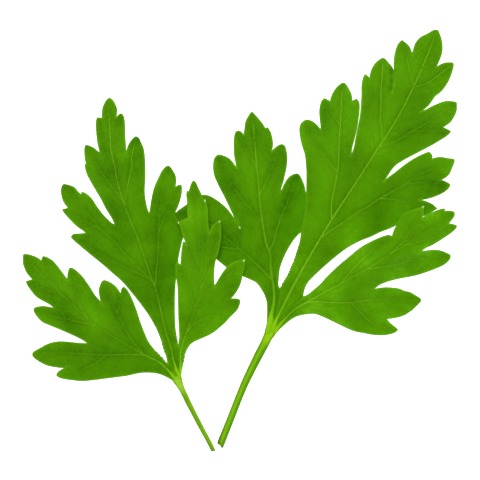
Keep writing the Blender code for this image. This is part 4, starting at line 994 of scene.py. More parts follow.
class Finish(Wiring):
    """A material being made."""

    def __init__(self, name: str) -> None:
        """Begin the material.

        Args:
            name: its name.
        """
        self.material = bpy.data.materials.new(name)
        self.material.use_nodes = True
        super().__init__(self.material.node_tree)
        self.shader = self.tree.nodes["Principled BSDF"]
        self.place = self.add("ShaderNodeTexCoord").outputs["Object"]

    def attribute(self, name: str) -> Socket:
        """Read a number kept on the mesh."""
        return self.add("ShaderNodeAttribute", {"attribute_name": name}).outputs["Fac"]

    def noise(self, size: float, detail: float, roughness: float = 0.5) -> Socket:
        """Add a noise pattern with patches of this size in millimetres and this many finer layers."""
        return self.add("ShaderNodeTexNoise", Vector=self.place, Scale=1 / (size * MM), Detail=detail,
                        Roughness=roughness).outputs[0]

    def dress(self, colour: Socket, roughness: Socket, relief: Socket, flesh: Flesh) -> Material:
        """Set the shader.

        Args:
            colour: base colour.
            roughness: how dull it is.
            relief: height of the finest relief.
            flesh: the rest.

        Returns:
            The material.
        """
        bump = self.add("ShaderNodeBump", Strength=flesh.strength, Distance=flesh.relief * MM, Height=relief)
        values = {
            "Base Color": colour, "Roughness": roughness, "Normal": bump.outputs[0],
            "Specular IOR Level": flesh.gloss, "Specular Tint": flesh.tint, "Subsurface Weight": flesh.glow,
            "Subsurface Radius": flesh.spread, "Subsurface Scale": flesh.depth * MM,
        }
        for name, value in values.items():
            self.feed(self.shader, name, value)
        return self.material


@dataclass(frozen=True)
class BladeFinish:
    """Fresh green blade: mottled, darker along its veins, a painted highlight along its rim, paler underneath."""

    name: str
    deep: Colour = rgb(42, 100, 0)
    dark: Colour = rgb(62, 125, 0)
    plain: Colour = rgb(78, 143, 1)
    light: Colour = rgb(85, 157, 2)
    bright: Colour = rgb(106, 178, 12)
    # rim: painted highlight colour laid along the free margin
    rim: Colour = rgb(106, 170, 18)
    edge: Colour = rgb(96, 98, 8)
    under: Colour = rgb(126, 170, 84)
    crown: Colour = rgb(110, 178, 10)
    roughness: float = 0.52
    flesh: Flesh = Flesh(0.14, (0.7, 1.0, 0.08, 1.0), 0.25, (0.35, 0.9, 0.06), 0.35, 0.25, 0.05)

    def make(self) -> Material:
        """Build the material.

        Returns:
            The material, which reads the numbers kept on a blade's mesh.
        """
        w = Finish(self.name)
        tone, vein_gap = w.attribute("tone"), w.attribute("vein_gap")
        margin_gap, fork = w.attribute("margin_gap"), w.attribute("fork")
        cell = w.attribute("cell")
        patches = w.noise(7.0, 2.0)
        mottle = w.noise(1.6, 3.0, 0.6)
        grain = w.noise(0.22, 2.0, 0.6)
        level = w.math("MULTIPLY_ADD", tone, 0.25, 0.5)
        level = w.math("ADD", level, w.ramp(patches, 0.3, 0.7, -0.06, 0.06))
        level = w.math("ADD", level, w.ramp(mottle, 0.3, 0.7, -0.07, 0.07))
        level = w.math("ADD", level, w.ramp(cell, 0.0, 1.0, 0.04, -0.02))
        level = w.math("ADD", level, w.ramp(grain, 0.3, 0.7, -0.03, 0.03))
        level = w.math("SUBTRACT", level, w.ramp(vein_gap, 0.25, 1.1, 0.12, 0.0))
        shades = w.shades(level, (
            (0.0, self.deep), (0.25, self.dark), (0.5, self.plain), (0.75, self.light), (1.0, self.bright)))
        # Painted highlight: the rim colour is blended in near the free margin, only where the blade is not dark.
        rim_highlight = w.math("MULTIPLY", w.ramp(margin_gap, 0.05, 0.42, 0.6, 0.0), w.ramp(level, 0.1, 0.45))
        colour = w.blend(rim_highlight, shades, self.rim)
        browned = w.math("MULTIPLY", w.ramp(margin_gap, 0.0, 0.14, 0.55, 0.0), w.ramp(patches, 0.42, 0.6))
        colour = w.blend(browned, colour, self.edge)
        colour = w.blend(w.ramp(fork, 0.78, 1.0, 0.0, 0.75), colour, self.crown)
        under = w.blend(w.ramp(mottle, 0.3, 0.7, 0.0, 0.25), self.under, shades)
        under = w.blend(w.ramp(cell, 0.0, 0.7, 0.35, 0.0), under, rgb(150, 190, 110))
        colour = w.blend(w.attribute("under"), colour, under)
        roughness = w.ramp(mottle, 0.25, 0.75, self.roughness - 0.07, self.roughness + 0.09)
        relief = w.math("MULTIPLY_ADD", grain, 0.35, w.math("MULTIPLY", mottle, 0.8))
        return w.dress(colour, roughness, relief, self.flesh)


@dataclass(frozen=True)
class VeinFinish:
    """Pale vein: the wider it is, the paler, with painted light where the blade's tone is light and painted shade where
    it is dark.
    """

    name: str
    wide: Colour = rgb(120, 184, 24)
    narrow: Colour = rgb(84, 150, 6)
    shaded: Colour = rgb(66, 126, 2)
    lit_wide: Colour = rgb(146, 208, 46)
    lit_narrow: Colour = rgb(100, 170, 12)
    crown: Colour = rgb(136, 198, 12)
    roughness: float = 0.45
    flesh: Flesh = Flesh(0.15, (0.7, 1.0, 0.1, 1.0), 0.3, (0.4, 0.9, 0.08), 0.35, 0.2, 0.03)

    def make(self) -> Material:
        """Build the material.

        Returns:
            The material, which reads the numbers kept on a swept vein.
        """
        w = Finish(self.name)
        width = w.attribute("half_width")
        mottle = w.noise(1.4, 3.0, 0.6)
        fibre = w.noise(0.12, 2.0, 0.6)
        tone = w.attribute("tone")
        # Painted light and shade: lit copies of the vein colours where the blade's tone is light, the shaded colour
        # where it is dark.
        lit = w.ramp(tone, 0.4, 2.0, 0.0, 0.85)
        share = w.math("MULTIPLY", w.ramp(width, 0.036 * MM, 0.098 * MM), w.attribute("pale"))
        share = w.math("ADD", share, w.ramp(mottle, 0.3, 0.7, -0.12, 0.12), clamp=True)
        narrow, wide = w.blend(lit, self.narrow, self.lit_narrow), w.blend(lit, self.wide, self.lit_wide)
        colour = w.blend(w.ramp(tone, -2.5, 0.2, 0.6, 0.0), w.blend(share, narrow, wide), self.shaded)
        colour = w.blend(w.ramp(w.attribute("fork"), 0.15, 1.0), colour, self.crown)
        roughness = w.ramp(fibre, 0.3, 0.7, self.roughness - 0.05, self.roughness + 0.1)
        return w.dress(colour, roughness, fibre, self.flesh)


@dataclass(frozen=True)
class StalkFinish:
    """Juicy stalk: bands of green along it, partly painted light and shade across it, with fine lengthwise fibres and a
    paler crown.
    """

    name: str
    # colours across the stalk, side to side, partly painted light and shade
    bands: tuple[tuple[float, Colour], ...]
    deep: Colour = rgb(78, 138, 4)
    crown: Colour = rgb(154, 212, 13)
    blade: Colour = rgb(74, 140, 0)
    cut: Colour = rgb(62, 94, 12)
    roughness: float = 0.5
    flesh: Flesh = Flesh(0.15, (0.75, 1.0, 0.15, 1.0), 0.3, (0.5, 1.0, 0.1), 0.4, 0.3, 0.04)

    def make(self) -> Material:
        """Build the material.

        Returns:
            The material, which reads the numbers kept on a stalk's mesh.
        """
        w = Finish(self.name)
        fibres = w.attribute("fibre")
        mottle = w.noise(2.2, 3.0, 0.6)
        speck = w.noise(0.3, 2.0, 0.6)
        # Painted light on one side of the stalk and painted shade on the other, read from its side.
        colour = w.shades(w.attribute("side"), self.bands)
        colour = w.blend(w.ramp(fibres, 0.2, 1.0, 0.0, 0.2), colour, self.crown)
        colour = w.blend(w.attribute("fork"), colour, self.crown)
        colour = w.blend(w.ramp(mottle, 0.35, 0.7, 0.0, 0.22), colour, self.deep)
        colour = w.blend(w.attribute("blade"), colour, self.blade)
        colour = w.blend(w.attribute("cut"), colour, self.cut)
        roughness = w.ramp(speck, 0.3, 0.7, self.roughness - 0.05, self.roughness + 0.12)
        relief = w.math("MULTIPLY_ADD", fibres, 0.7, w.math("MULTIPLY", speck, 0.3))
        return w.dress(colour, roughness, relief, self.flesh)


# Colours across each stalk, side to side: partly its own ridge and channel, partly painted light on one side and
# painted shade on the other.
LARGE_LIGHT_SHADE_BANDS = (
    (0.0, rgb(84, 124, 12)), (0.2, rgb(104, 158, 10)), (0.35, rgb(136, 202, 20)), (0.5, rgb(132, 202, 18)),
    (0.62, rgb(98, 168, 5)), (0.76, rgb(84, 148, 3)), (1.0, rgb(82, 140, 8)),
)
SMALL_LIGHT_SHADE_BANDS = (
    (0.0, rgb(98, 150, 12)), (0.25, rgb(104, 158, 10)), (0.45, rgb(112, 170, 8)), (0.65, rgb(126, 184, 12)),
    (0.85, rgb(130, 180, 24)), (1.0, rgb(124, 168, 30)),
)


@dataclass(frozen=True)
class PoreFinish:
    """Pale, slightly waxy tip pore."""

    name: str
    waxy: Colour = rgb(190, 228, 140)
    green: Colour = rgb(150, 200, 70)
    flesh: Flesh = Flesh(0.5, (1.0, 1.0, 1.0, 1.0), 0.0, (1.0, 1.0, 1.0), 0.1, 0.3, 0.03)

    def make(self) -> Material:
        """Build the material.

        Returns:
            The material.
        """
        w = Finish(self.name)
        spots = w.noise(0.18, 2.0, 0.6)
        colour = w.blend(w.ramp(spots, 0.35, 0.7, 0.0, 0.5), self.waxy, self.green)
        return w.dress(colour, w.ramp(spots, 0.3, 0.7, 0.4, 0.6), spots, self.flesh)


def turned_in(points: Array, faces: Sequence[Sequence[int]]) -> bool:
    """Tell whether a closed mesh faces inwards, by its signed volume."""
    volume = 0.0
    for face in faces:
        for i in range(1, len(face) - 1):
            volume += float(np.dot(points[face[0]], np.cross(points[face[i]], points[face[i + 1]])))
    return volume < 0


def mesh_object(name: str, vertices: Array, faces: Sequence[Sequence[int]], edges: Sequence[Sequence[int]] = (),
                numbers: dict[str, Array] | None = None) -> Object:
    """Make an object at the origin.

    Args:
        name: its name.
        vertices: rows of x, y and z in millimetres.
        faces: vertex numbers of each face.
        edges: the same of loose edges.
        numbers: values kept on the vertices.

    Returns:
        The linked object.
    """
    mesh = bpy.data.meshes.new(name)
    mesh.from_pydata((vertices * MM).tolist(), [tuple(e) for e in edges], [tuple(f) for f in faces])
    for key, values in (numbers or {}).items():
        mesh.attributes.new(key, "FLOAT", "POINT").data.foreach_set("value", np.asarray(values, np.float32))
    mesh.validate(verbose=False)
    mesh.shade_smooth()
    obj = bpy.data.objects.new(name, mesh)
    bpy.context.scene.collection.objects.link(obj)
    return obj


class Grower:
    """A Geometry Nodes tree with named inputs, and its use on a mesh of lines or points."""

    def __init__(self, name: str) -> None:
        """Open an empty tree with a geometry input and output.

        Args:
            name: the tree's name.
        """
        self.tree = bpy.data.node_groups.new(name, "GeometryNodeTree")
        self.w = Wiring(self.tree)
        self.tree.interface.new_socket("Geometry", in_out="OUTPUT", socket_type="NodeSocketGeometry")
        self.identifiers: dict[str, str] = {}
        self.named("Geometry", "NodeSocketGeometry")

    def named(self, name: str, kind: str, value: Any = None) -> None:
        """Add a named input to the tree.

        Args:
            name: its name.
            kind: its socket type.
            value: its usual value.
        """
        socket = self.tree.interface.new_socket(name, in_out="INPUT", socket_type=kind)
        if value is not None:
            socket.default_value = value
        self.identifiers[name] = socket.identifier

    def finish(self, geometry: Socket, material: Socket) -> None:
        """End the tree: smooth, whole and dressed.

        Args:
            geometry: what it has made.
            material: the finish to put on it.
        """
        smooth = self.w.add("GeometryNodeSetShadeSmooth", Geometry=geometry)
        whole = self.w.add("GeometryNodeRealizeInstances", Geometry=smooth.outputs[0])
        dressed = self.w.add("GeometryNodeSetMaterial", Geometry=whole.outputs[0], Material=material)
        end = self.w.add("NodeGroupOutput")
        self.w.feed(end, "Geometry", dressed.outputs[0])

    def grow(self, seedling: Object, name: str, **inputs: Any) -> Object:
        """Run the tree on an object and keep the result as a plain mesh.

        Args:
            seedling: the lines or points, which are used up.
            name: name of the result.
            inputs: values by input name.

        Returns:
            The new object.
        """
        modifier = seedling.modifiers.new("grow", "NODES")
        modifier.node_group = self.tree
        for key, value in inputs.items():
            modifier[self.identifiers[key.replace("_", " ")]] = value
        evaluated = seedling.evaluated_get(bpy.context.evaluated_depsgraph_get())
        mesh = bpy.data.meshes.new_from_object(evaluated)
        seedling.modifiers.remove(modifier)
        bpy.data.objects.remove(seedling, do_unlink=True)
        mesh.name = name
        obj = bpy.data.objects.new(name, mesh)
        bpy.context.scene.collection.objects.link(obj)
        return obj


class VeinSweep(Grower):
    """Sweeps a rounded section along lines, as wide at each point as the line says."""

    def __init__(self) -> None:
        """Build the tree."""
        super().__init__("vein_sweep")
        self.named("Flatness", "NodeSocketFloat", 0.6)
        self.named("Section Points", "NodeSocketInt", 8)
        self.named("Material", "NodeSocketMaterial")
        start = self.w.add("NodeGroupInput")
        curve = self.w.add("GeometryNodeMeshToCurve", Mesh=start.outputs["Geometry"])
        upright = self.w.add("GeometryNodeSetCurveNormal", {"mode": "Z_UP"}, Curve=curve.outputs[0])
        width = self.w.add("GeometryNodeInputNamedAttribute", {"data_type": "FLOAT"}, Name="half_width")
        circle = self.w.add("GeometryNodeCurvePrimitiveCircle", Resolution=start.outputs["Section Points"], Radius=1.0)
        shape = self.w.add("ShaderNodeCombineXYZ", X=1.0, Y=start.outputs["Flatness"], Z=1.0)
        section = self.w.add("GeometryNodeTransform", Geometry=circle.outputs["Curve"], Scale=shape.outputs[0])
        swept = self.w.add("GeometryNodeCurveToMesh", Curve=upright.outputs[0], Profile_Curve=section.outputs[0],
                           Scale=width.outputs["Attribute"], Fill_Caps=True)
        self.finish(swept.outputs[0], start.outputs["Material"])


class PoreSet(Grower):
    """Sets small rounded pores on points."""

    def __init__(self) -> None:
        """Build the tree."""
        super().__init__("pore_set")
        self.named("Size", "NodeSocketFloat", 0.3 * MM)
        self.named("Seed", "NodeSocketInt", 5)
        self.named("Material", "NodeSocketMaterial")
        start = self.w.add("NodeGroupInput")
        points = self.w.add("GeometryNodeMeshToPoints", Mesh=start.outputs["Geometry"])
        lean = self.w.add("GeometryNodeInputNamedAttribute", {"data_type": "FLOAT_VECTOR"}, Name="lean")
        turn = self.w.add("FunctionNodeAlignRotationToVector", {"axis": "Y"}, Vector=lean.outputs["Attribute"])
        drop = self.w.add("GeometryNodeMeshIcoSphere", Radius=start.outputs["Size"], Subdivisions=3)
        long = self.w.add("GeometryNodeTransform", Geometry=drop.outputs["Mesh"], Scale=(0.62, 1.0, 0.55))
        size = self.w.add("FunctionNodeRandomValue", {"data_type": "FLOAT"}, Seed=start.outputs["Seed"])
        self.w.feed(size, 2, 0.8)
        self.w.feed(size, 3, 1.1)
        placed = self.w.add("GeometryNodeInstanceOnPoints", Points=points.outputs[0], Instance=long.outputs[0],
                            Rotation=turn.outputs[0], Scale=size.outputs[1])
        self.finish(placed.outputs[0], start.outputs["Material"])


@dataclass
class Kit:
    """The trees and finishes that all parts of the bunch share."""

    sweep: VeinSweep
    pores: PoreSet
    blade: Material
    vein: Material
    rib: Material
    pore: Material


def settle(piece: Object, node: str) -> None:
    """Keep a finished piece inside the CAD box and tie it to the model.

    Args:
        piece: the piece.
        node: the CAD node it stands for.
    """
    spots = np.empty(3 * len(piece.data.vertices), np.float32)
    piece.data.vertices.foreach_get("co", spots)
    low, high = (np.array(corner) for corner in CAD_BOX)
    inside = np.clip(spots.reshape(-1, 3), low + BOX_CLEARANCE * MM, high - BOX_CLEARANCE * MM)
    piece.data.vertices.foreach_set("co", inside.astype(np.float32).ravel())
    piece.data.update()
    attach(piece, BODY)
    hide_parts(node)
    LOG.info("%s: %d faces", piece.name, len(piece.data.polygons))


@dataclass
class Leaflet:
    """One lobed leaflet: blade, veins, ribs, teeth and pores."""

    name: str
    node: str
    slot: str
    place: Placement
    knots: tuple
    heights: tuple
    fork_height: float
    veins: tuple[Vein, ...]
    seed: int
    tone: float = 0.0
    saws: tuple[Saw, ...] = ()
    pores: tuple[Flat, ...] = ()
    fold: tuple[Flat, ...] = ()

    def prepare(self, seam: Array | None, stalk: "Stalk") -> None:
        """Draw the edge, the veins and the threads.

        Args:
            seam: a side leaflet's seam with the middle one, in its own frame.
            stalk: the stalk it springs from.
        """
        self.outline = Outline(self.knots, seam, self.saws, self.seed + 400)
        self.stalk = stalk
        self.field = HeightField(self.heights, self.fork_height)
        self.margins = Strands(self.outline.margins())
        self.seams = Strands(self.outline.seams())
        self.lines = [self.vein_line(vein) for vein in self.veins]
        self.vein_index = Strands(self.lines)
        self.threads = Threads(self.outline, self.lines, self.margins, self.seed).grow()
        self.thread_index = Strands(self.threads)
        self.cells = Cells(self.outline.low, self.outline.high, self.seed + 50)
        self.swell = Waves(6.5, self.seed + 100)
        self.ripple = Waves(3.4, self.seed + 150)

    def vein_line(self, vein: Vein) -> Array:
        """Draw a vein.

        Args:
            vein: its table.

        Returns:
            Rows of across, along, width and paleness.
        """
        line = smooth_line(vein.points, 0.3)
        share = run_length(line) / run_length(line)[-1]
        width = vein.tip + (vein.root - vein.tip) * (1 - share) ** 1.35
        width *= 1 + VEIN_FLARE * bell(np.linalg.norm(line, axis=1), VEIN_FLARE_REACH)
        width *= 1 - 0.6 * smoothstep(share, 0.94, 1.0)
        parts = len(vein.pale)
        pale = np.interp(share * parts, np.arange(parts) + 0.5, vein.pale)
        return np.column_stack([line, width, pale])

    def dip(self, points: Array) -> Array:
        """Depth by which the blade dips where one of its lobes slips under the next.

        Args:
            points: rows of across and along.

        Returns:
            Depths in millimetres.
        """
        if not self.fold:
            return np.zeros(len(points))
        line = np.array(self.fold)
        gap = np.interp(points[:, 1], line[:, 1], line[:, 0]) - points[:, 0]
        run = smoothstep(points[:, 1], line[0, 1] - 0.5, line[0, 1] + 1.5)
        run *= 1 - smoothstep(points[:, 1], line[-1, 1] + 0.5, line[-1, 1] + 3)
        return FOLD_DEPTH * run * bell(gap, FOLD_REACH) * (gap > -0.02)

    def upper(self, points: Array) -> Array:
        """Height of the blade's upper side, with its relief.

        Args:
            points: rows of across and along.

        Returns:
            Heights above the table.
        """
        vein_gap, carried = self.vein_index.nearest(points)
        thread_gap, _ = self.thread_index.nearest(points)
        margin_gap, _ = self.margins.nearest(points)
        seam_gap, _ = self.seams.nearest(points)
        width = carried[:, 0]
        relief = -QUILT_DEPTH * bell(vein_gap, QUILT_REACH)
        relief -= GROOVE_DEPTH * np.sqrt(width / 0.3) * bell(vein_gap, GROOVE_REACH + 0.5 * width)
        relief -= THREAD_DEPTH * bell(thread_gap, THREAD_REACH)
        relief += CELL_DEPTH * (self.cells.fullness(points) - 1)
        relief += SWELL_DEPTH * (self.swell.at(points) - 0.6)
        relief += RIPPLE_DEPTH * bell(margin_gap, RIPPLE_REACH) * (self.ripple.at(points) - 0.4)
        relief *= smoothstep(seam_gap, 0.0, 1.3)
        relief -= self.dip(points)
        low = TABLE_GAP + self.thickness(margin_gap)
        return np.maximum(self.field.at(points) + relief, low)

    def thickness(self, margin_gap: Array) -> Array:
        """Return the blade's thickness at these gaps to its margin."""
        return MARGIN_THICKNESS + (MID_THICKNESS - MARGIN_THICKNESS) * (1 - bell(margin_gap, MARGIN_REACH))

    def sheet(self) -> tuple[Array, Array]:
        """Cover the outline with triangles.

        Returns:
            Flat points, and vertex numbers of the triangles, all facing up.
        """
        rng = np.random.default_rng(self.seed + 200)
        edge = self.outline.points
        rib_lines = [line[self.inner(line)][:, :2] for line in self.lines]
        rib_lines = [line for line in rib_lines if len(line) > 2]
        grid = hexagonal(self.outline.low, self.outline.high, SHEET_PITCH)
        grid += rng.uniform(-SHEET_JITTER, SHEET_JITTER, grid.shape)
        grid = grid[self.outline.holds(grid)]
        rim = Strands([np.vstack([edge, edge[:1]])])
        grid = grid[rim.nearest(grid)[0] > MARGIN_CLEARANCE]
        grid = grid[Strands(rib_lines).nearest(grid)[0] > VEIN_CLEARANCE]
        links, first = [], len(edge)
        for line in rib_lines:
            links += [(first + i, first + i + 1) for i in range(len(line) - 1)]
            first += len(line)
        points = np.vstack([edge, *rib_lines, grid])
        flat, _, triangles, *_ = delaunay_2d_cdt(
            [Vector((float(x), float(y))) for x, y in points], links, [list(range(len(edge)))], 1, 1e-5)
        flat = np.array([(v.x, v.y) for v in flat])
        triangles = np.array(triangles)
        a, b, c = (flat[triangles[:, i]] for i in range(3))
        size = (b[:, 0] - a[:, 0]) * (c[:, 1] - a[:, 1]) - (b[:, 1] - a[:, 1]) * (c[:, 0] - a[:, 0])
        triangles[size < 0] = triangles[size < 0][:, ::-1]
        return flat, triangles[np.abs(size) > 1e-7]

    def inner(self, line: Array) -> Array:
        """Tell which points of a line lie well inside the blade."""
        gap = np.minimum(self.margins.nearest(line)[0], self.seams.nearest(line)[0])
        return self.outline.holds(line[:, :2]) & (gap > 0.15)

    def fork_share(self, points: Array) -> Array:
        """Return 1 at the fork, fading to 0 a few millimetres from it."""
        return 1 - smoothstep(np.linalg.norm(points[:, :2], axis=1), 0.8, 5.0)

    def tones_at(self, points: Array) -> Array:
        """Return how light or dark the blade is, from broad waves and a painted shadow beside its fold."""
        total = self.tone + TONE_SWING * Waves(TONE_LENGTH, self.seed + TONE_SEED).at(points)
        # Painted shadow: darken the lobe just beside the fold, under the lobe that lies over it.
        for across, along in self.fold[1:]:
            gap = np.hypot(points[:, 0] - across + FOLD_SHADE_SHIFT, points[:, 1] - along)
            total -= FOLD_SHADE * bell(gap, FOLD_SHADE_REACH)
        return total

    def build_blade(self, finish: Material) -> Object:
        """Build the blade: upper side, lower side and a rounded rim between them.

        Args:
            finish: its material.

        Returns:
            The blade.
        """
        flat, triangles = self.sheet()
        count = len(flat)
        directed = np.vstack([triangles[:, [0, 1]], triangles[:, [1, 2]], triangles[:, [2, 0]]])
        known = {(int(a), int(b)) for a, b in directed}
        rim = [(a, b) for a, b in known if (b, a) not in known]
        rim.sort()
        ring = sorted({a for a, _ in rim})
        outward = np.zeros((count, 2))
        for a, b in rim:
            run = flat[b] - flat[a]
            normal = np.array([run[1], -run[0]]) / max(np.linalg.norm(run), 1e-9)
            outward[a] += normal
            outward[b] += normal
        outward /= np.maximum(np.linalg.norm(outward, axis=1), 1e-9)[:, None]
        margin_gap, _ = self.margins.nearest(flat)
        seam_gap, _ = self.seams.nearest(flat)
        free = (seam_gap > 1e-3)[ring]
        top = self.upper(flat)
        thick = self.thickness(margin_gap)
        middle = {old: count * 2 + i for i, old in enumerate(ring)}
        bulged = flat[ring] + outward[ring] * (RIM_BULGE * free)[:, None]
        everywhere = np.vstack([flat, flat, bulged])
        heights = np.concatenate([top, top - thick, (top - 0.5 * thick)[ring]])
        vertices = np.column_stack([self.place.to_bunch(everywhere), heights])
        faces = triangles.tolist() + (triangles[:, ::-1] + count).tolist()
        for a, b in rim:
            faces.append([b, a, middle[a], middle[b]])
            faces.append([middle[b], middle[a], a + count, b + count])
        vein_gap, _ = self.vein_index.nearest(flat)
        cell = self.cells.fullness(flat)

        def thrice(values: Array) -> Array:
            """Repeat one side's values for the lower side and the rim."""
            return np.concatenate([values, values, values[ring]])

        numbers = {
            "tone": thrice(self.tones_at(flat)), "vein_gap": thrice(vein_gap), "margin_gap": thrice(margin_gap),
            "cell": thrice(cell), "fork": thrice(self.fork_share(flat)),
            "under": np.concatenate([np.zeros(count), np.ones(count), np.full(len(ring), 0.3)]),
        }
        obj = mesh_object(self.name + "_blade", vertices, faces, numbers=numbers)
        self.lay_map(obj, everywhere, count, outward[ring])
        obj.data.materials.append(finish)
        settle(obj, self.node)
        return obj

    def lay_map(self, obj: Object, everywhere: Array, count: int, outward: Array) -> None:
        """Give the blade a flat map: upper side on the left, lower side on the right.

        Args:
            obj: the blade.
            everywhere: flat place of each vertex.
            count: vertices of one side.
            outward: outward directions of the rim.
        """
        spread = everywhere.copy()
        spread[2 * count:] += outward * 0.12
        low = spread.min(0) - 0.5
        span = spread.max(0) + 0.5 - low
        scale = 1 / max(2 * span[0], span[1])
        upper = (spread - low) * scale
        lower = upper + np.array([0.5 * max(1.0, span[1] * scale) if span[0] * scale < 0.5 else 0.5, 0])
        mesh = obj.data
        corners = np.zeros(len(mesh.loops), np.int32)
        mesh.loops.foreach_get("vertex_index", corners)
        owner = np.zeros(len(mesh.loops), bool)
        for polygon in mesh.polygons:
            below = any(count <= v < 2 * count for v in polygon.vertices)
            owner[polygon.loop_start:polygon.loop_start + polygon.loop_total] = below
        places = np.where(owner[:, None], lower[corners], upper[corners])
        mesh.uv_layers.new(name="OFBake").data.foreach_set("uv", places.astype(np.float32).ravel())

    def strand_object(self, name: str, rank: Rank, side: Side) -> Object:
        """Lay this leaflet's lines on the blade.

        Args:
            name: name of the object.
            rank: which net of lines.
            side: the face they lie on.

        Returns:
            An object of loose edges with a half width at each vertex.
        """
        vertices, edges, widths, pales, forks, tones = [], [], [], [], [], []
        for number, line in enumerate(self.lines if rank is Rank.DRAWN else self.threads):
            arm = rank is Rank.DRAWN and number == 0
            if side is Side.UNDER or not arm:
                line = line[self.outline.holds(line[:, :2])]
            if len(line) < 3:
                continue
            flat = line[:, :2]
            height = self.upper(flat)
            if side is Side.UPPER:
                half = 0.5 * line[:, 2]
                if arm:
                    half = half * (0.3 + 0.7 * smoothstep(run_length(flat), 0.0, ARM_RISE))
                    height = self.arm_height(flat, height)
                height = height - (VEIN_SINK if rank is Rank.DRAWN else THREAD_SINK) * half
            else:
                gap = self.margins.nearest(flat)[0]
                half = np.minimum(0.6 * line[:, 2] + 0.02, 0.7 * gap + 0.01)
                height = height - 0.5 * self.thickness(gap) - RIB_FLATNESS * half
                height = np.maximum(height, TABLE_GAP + RIB_FLATNESS * half)
            first = len(vertices)
            vertices += np.column_stack([self.place.to_bunch(flat), height]).tolist()
            edges += [(first + i, first + i + 1) for i in range(len(flat) - 1)]
            widths += list(half * MM)
            pales += list(line[:, 3] if rank is Rank.DRAWN else np.ones(len(line)))
            forks += list(self.fork_share(flat))
            tones += list(self.tones_at(flat))
        return mesh_object(name, np.array(vertices), [], edges,
                           {"half_width": np.array(widths), "pale": np.array(pales), "fork": np.array(forks),
                            "tone": np.array(tones)})

    def arm_height(self, flat: Array, height: Array) -> Array:
        """Carry the midrib down over the crown and into the stalk.

        Args:
            flat: the midrib's points.
            height: the blade's upper side at each.

        Returns:
            Heights that ease from the stalk's upper side to the blade's.
        """
        crown = self.stalk.top_at(self.place.to_bunch(flat))
        height = np.maximum(np.where(self.outline.holds(flat), height, 0), crown)
        for _ in range(8):
            height[1:-1] = 0.25 * height[:-2] + 0.5 * height[1:-1] + 0.25 * height[2:]
        return height - ARM_DEPTH * (1 - smoothstep(run_length(flat), 0.0, ARM_RISE))

    def build_veins(self, kit: Kit) -> None:
        """Sweep the veins and threads of the upper side, and the ribs of the lower side.

        Args:
            kit: shared trees and finishes.
        """
        layers = (
            ("_veins", Rank.DRAWN, Side.UPPER, VEIN_FLATNESS, 10, kit.vein),
            ("_threads", Rank.THREAD, Side.UPPER, VEIN_FLATNESS, 5, kit.vein),
            ("_ribs", Rank.DRAWN, Side.UNDER, RIB_FLATNESS, 10, kit.rib),
            ("_fine_ribs", Rank.THREAD, Side.UNDER, RIB_FLATNESS, 5, kit.rib),
        )
        for suffix, rank, side, flatness, points, finish in layers:
            lines = self.strand_object(self.name + suffix + "_lines", rank, side)
            obj = kit.sweep.grow(lines, self.name + suffix, Flatness=flatness, Section_Points=points, Material=finish)
            settle(obj, self.node)

    def build_underlap(self, finish: Material) -> None:
        """Build the strip of the lobe that slips under the next one along the fold, its tone darkened as painted shade.

        Args:
            finish: the blade's material.
        """
        if not self.fold:
            return
        line = smooth_line(self.fold, 0.25)
        _, right = frame_of(line)
        half = UNDERLAP_HALF * np.clip((run_length(line)[-1] - run_length(line)) / 0.8, 0.15, 1)
        shares = np.linspace(-1, 1, 7)
        flat = np.vstack([line + right * (half * share)[:, None] for share in shares])
        height = self.field.at(flat) - UNDERLAP_DROP - FOLD_DEPTH
        count, rows = len(flat), len(line)
        both = np.concatenate([height, height - UNDERLAP_THICKNESS])
        vertices = np.column_stack([np.tile(self.place.to_bunch(flat), (2, 1)), both])
        faces = []
        for i in range(len(shares) - 1):
            for k in range(rows - 1):
                quad = [i * rows + k, (i + 1) * rows + k, (i + 1) * rows + k + 1, i * rows + k + 1]
                faces += [quad, [v + count for v in reversed(quad)]]
        last = (len(shares) - 1) * rows
        border = list(range(0, last + 1, rows)) + [last + k for k in range(1, rows)]
        border += [i * rows + rows - 1 for i in range(len(shares) - 2, -1, -1)] + list(range(rows - 2, 0, -1))
        for a, b in zip(border, border[1:] + border[:1]):
            faces.append([b, a, a + count, b + count])
        # The strip's dark tone is painted shade under the folded lobe.
        fixed = {"tone": UNDERLAP_SHADE_TONE, "vein_gap": 1.0, "margin_gap": 1.0, "cell": 1.0, "fork": 0.0, "under": 0.0}
        numbers = {key: np.full(2 * count, value) for key, value in fixed.items()}
        obj = mesh_object(self.name + "_underlap", vertices, faces, numbers=numbers)
        obj.data.materials.append(finish)
        settle(obj, self.node)

    def build_pores(self, kit: Kit) -> None:
        """Set the pale pores at the tips.

        Args:
            kit: shared trees and finishes.
        """
        if not self.pores:
            return
        flat = np.array(self.pores)
        spots = self.place.to_bunch(flat)
        ahead = self.place.to_bunch(1.1 * flat) - spots
        obj = mesh_object(self.name + "_pore_points", np.column_stack([spots, self.upper(flat) - PORE_SINK]), [])
        lean = np.column_stack([ahead, np.full(len(ahead), -0.05)])
        obj.data.attributes.new("lean", "FLOAT_VECTOR", "POINT").data.foreach_set(
            "vector", lean.astype(np.float32).ravel())
        obj = kit.pores.grow(obj, self.name + "_pores", Size=PORE_SIZE * MM, Seed=self.seed, Material=kit.pore)
        settle(obj, self.node)

    def build(self, kit: Kit) -> None:
        """Build and dress every piece of the leaflet.

        Args:
            kit: shared trees and finishes.
        """
        self.build_blade(kit.blade)
        self.build_veins(kit)
        self.build_underlap(kit.blade)
        self.build_pores(kit)


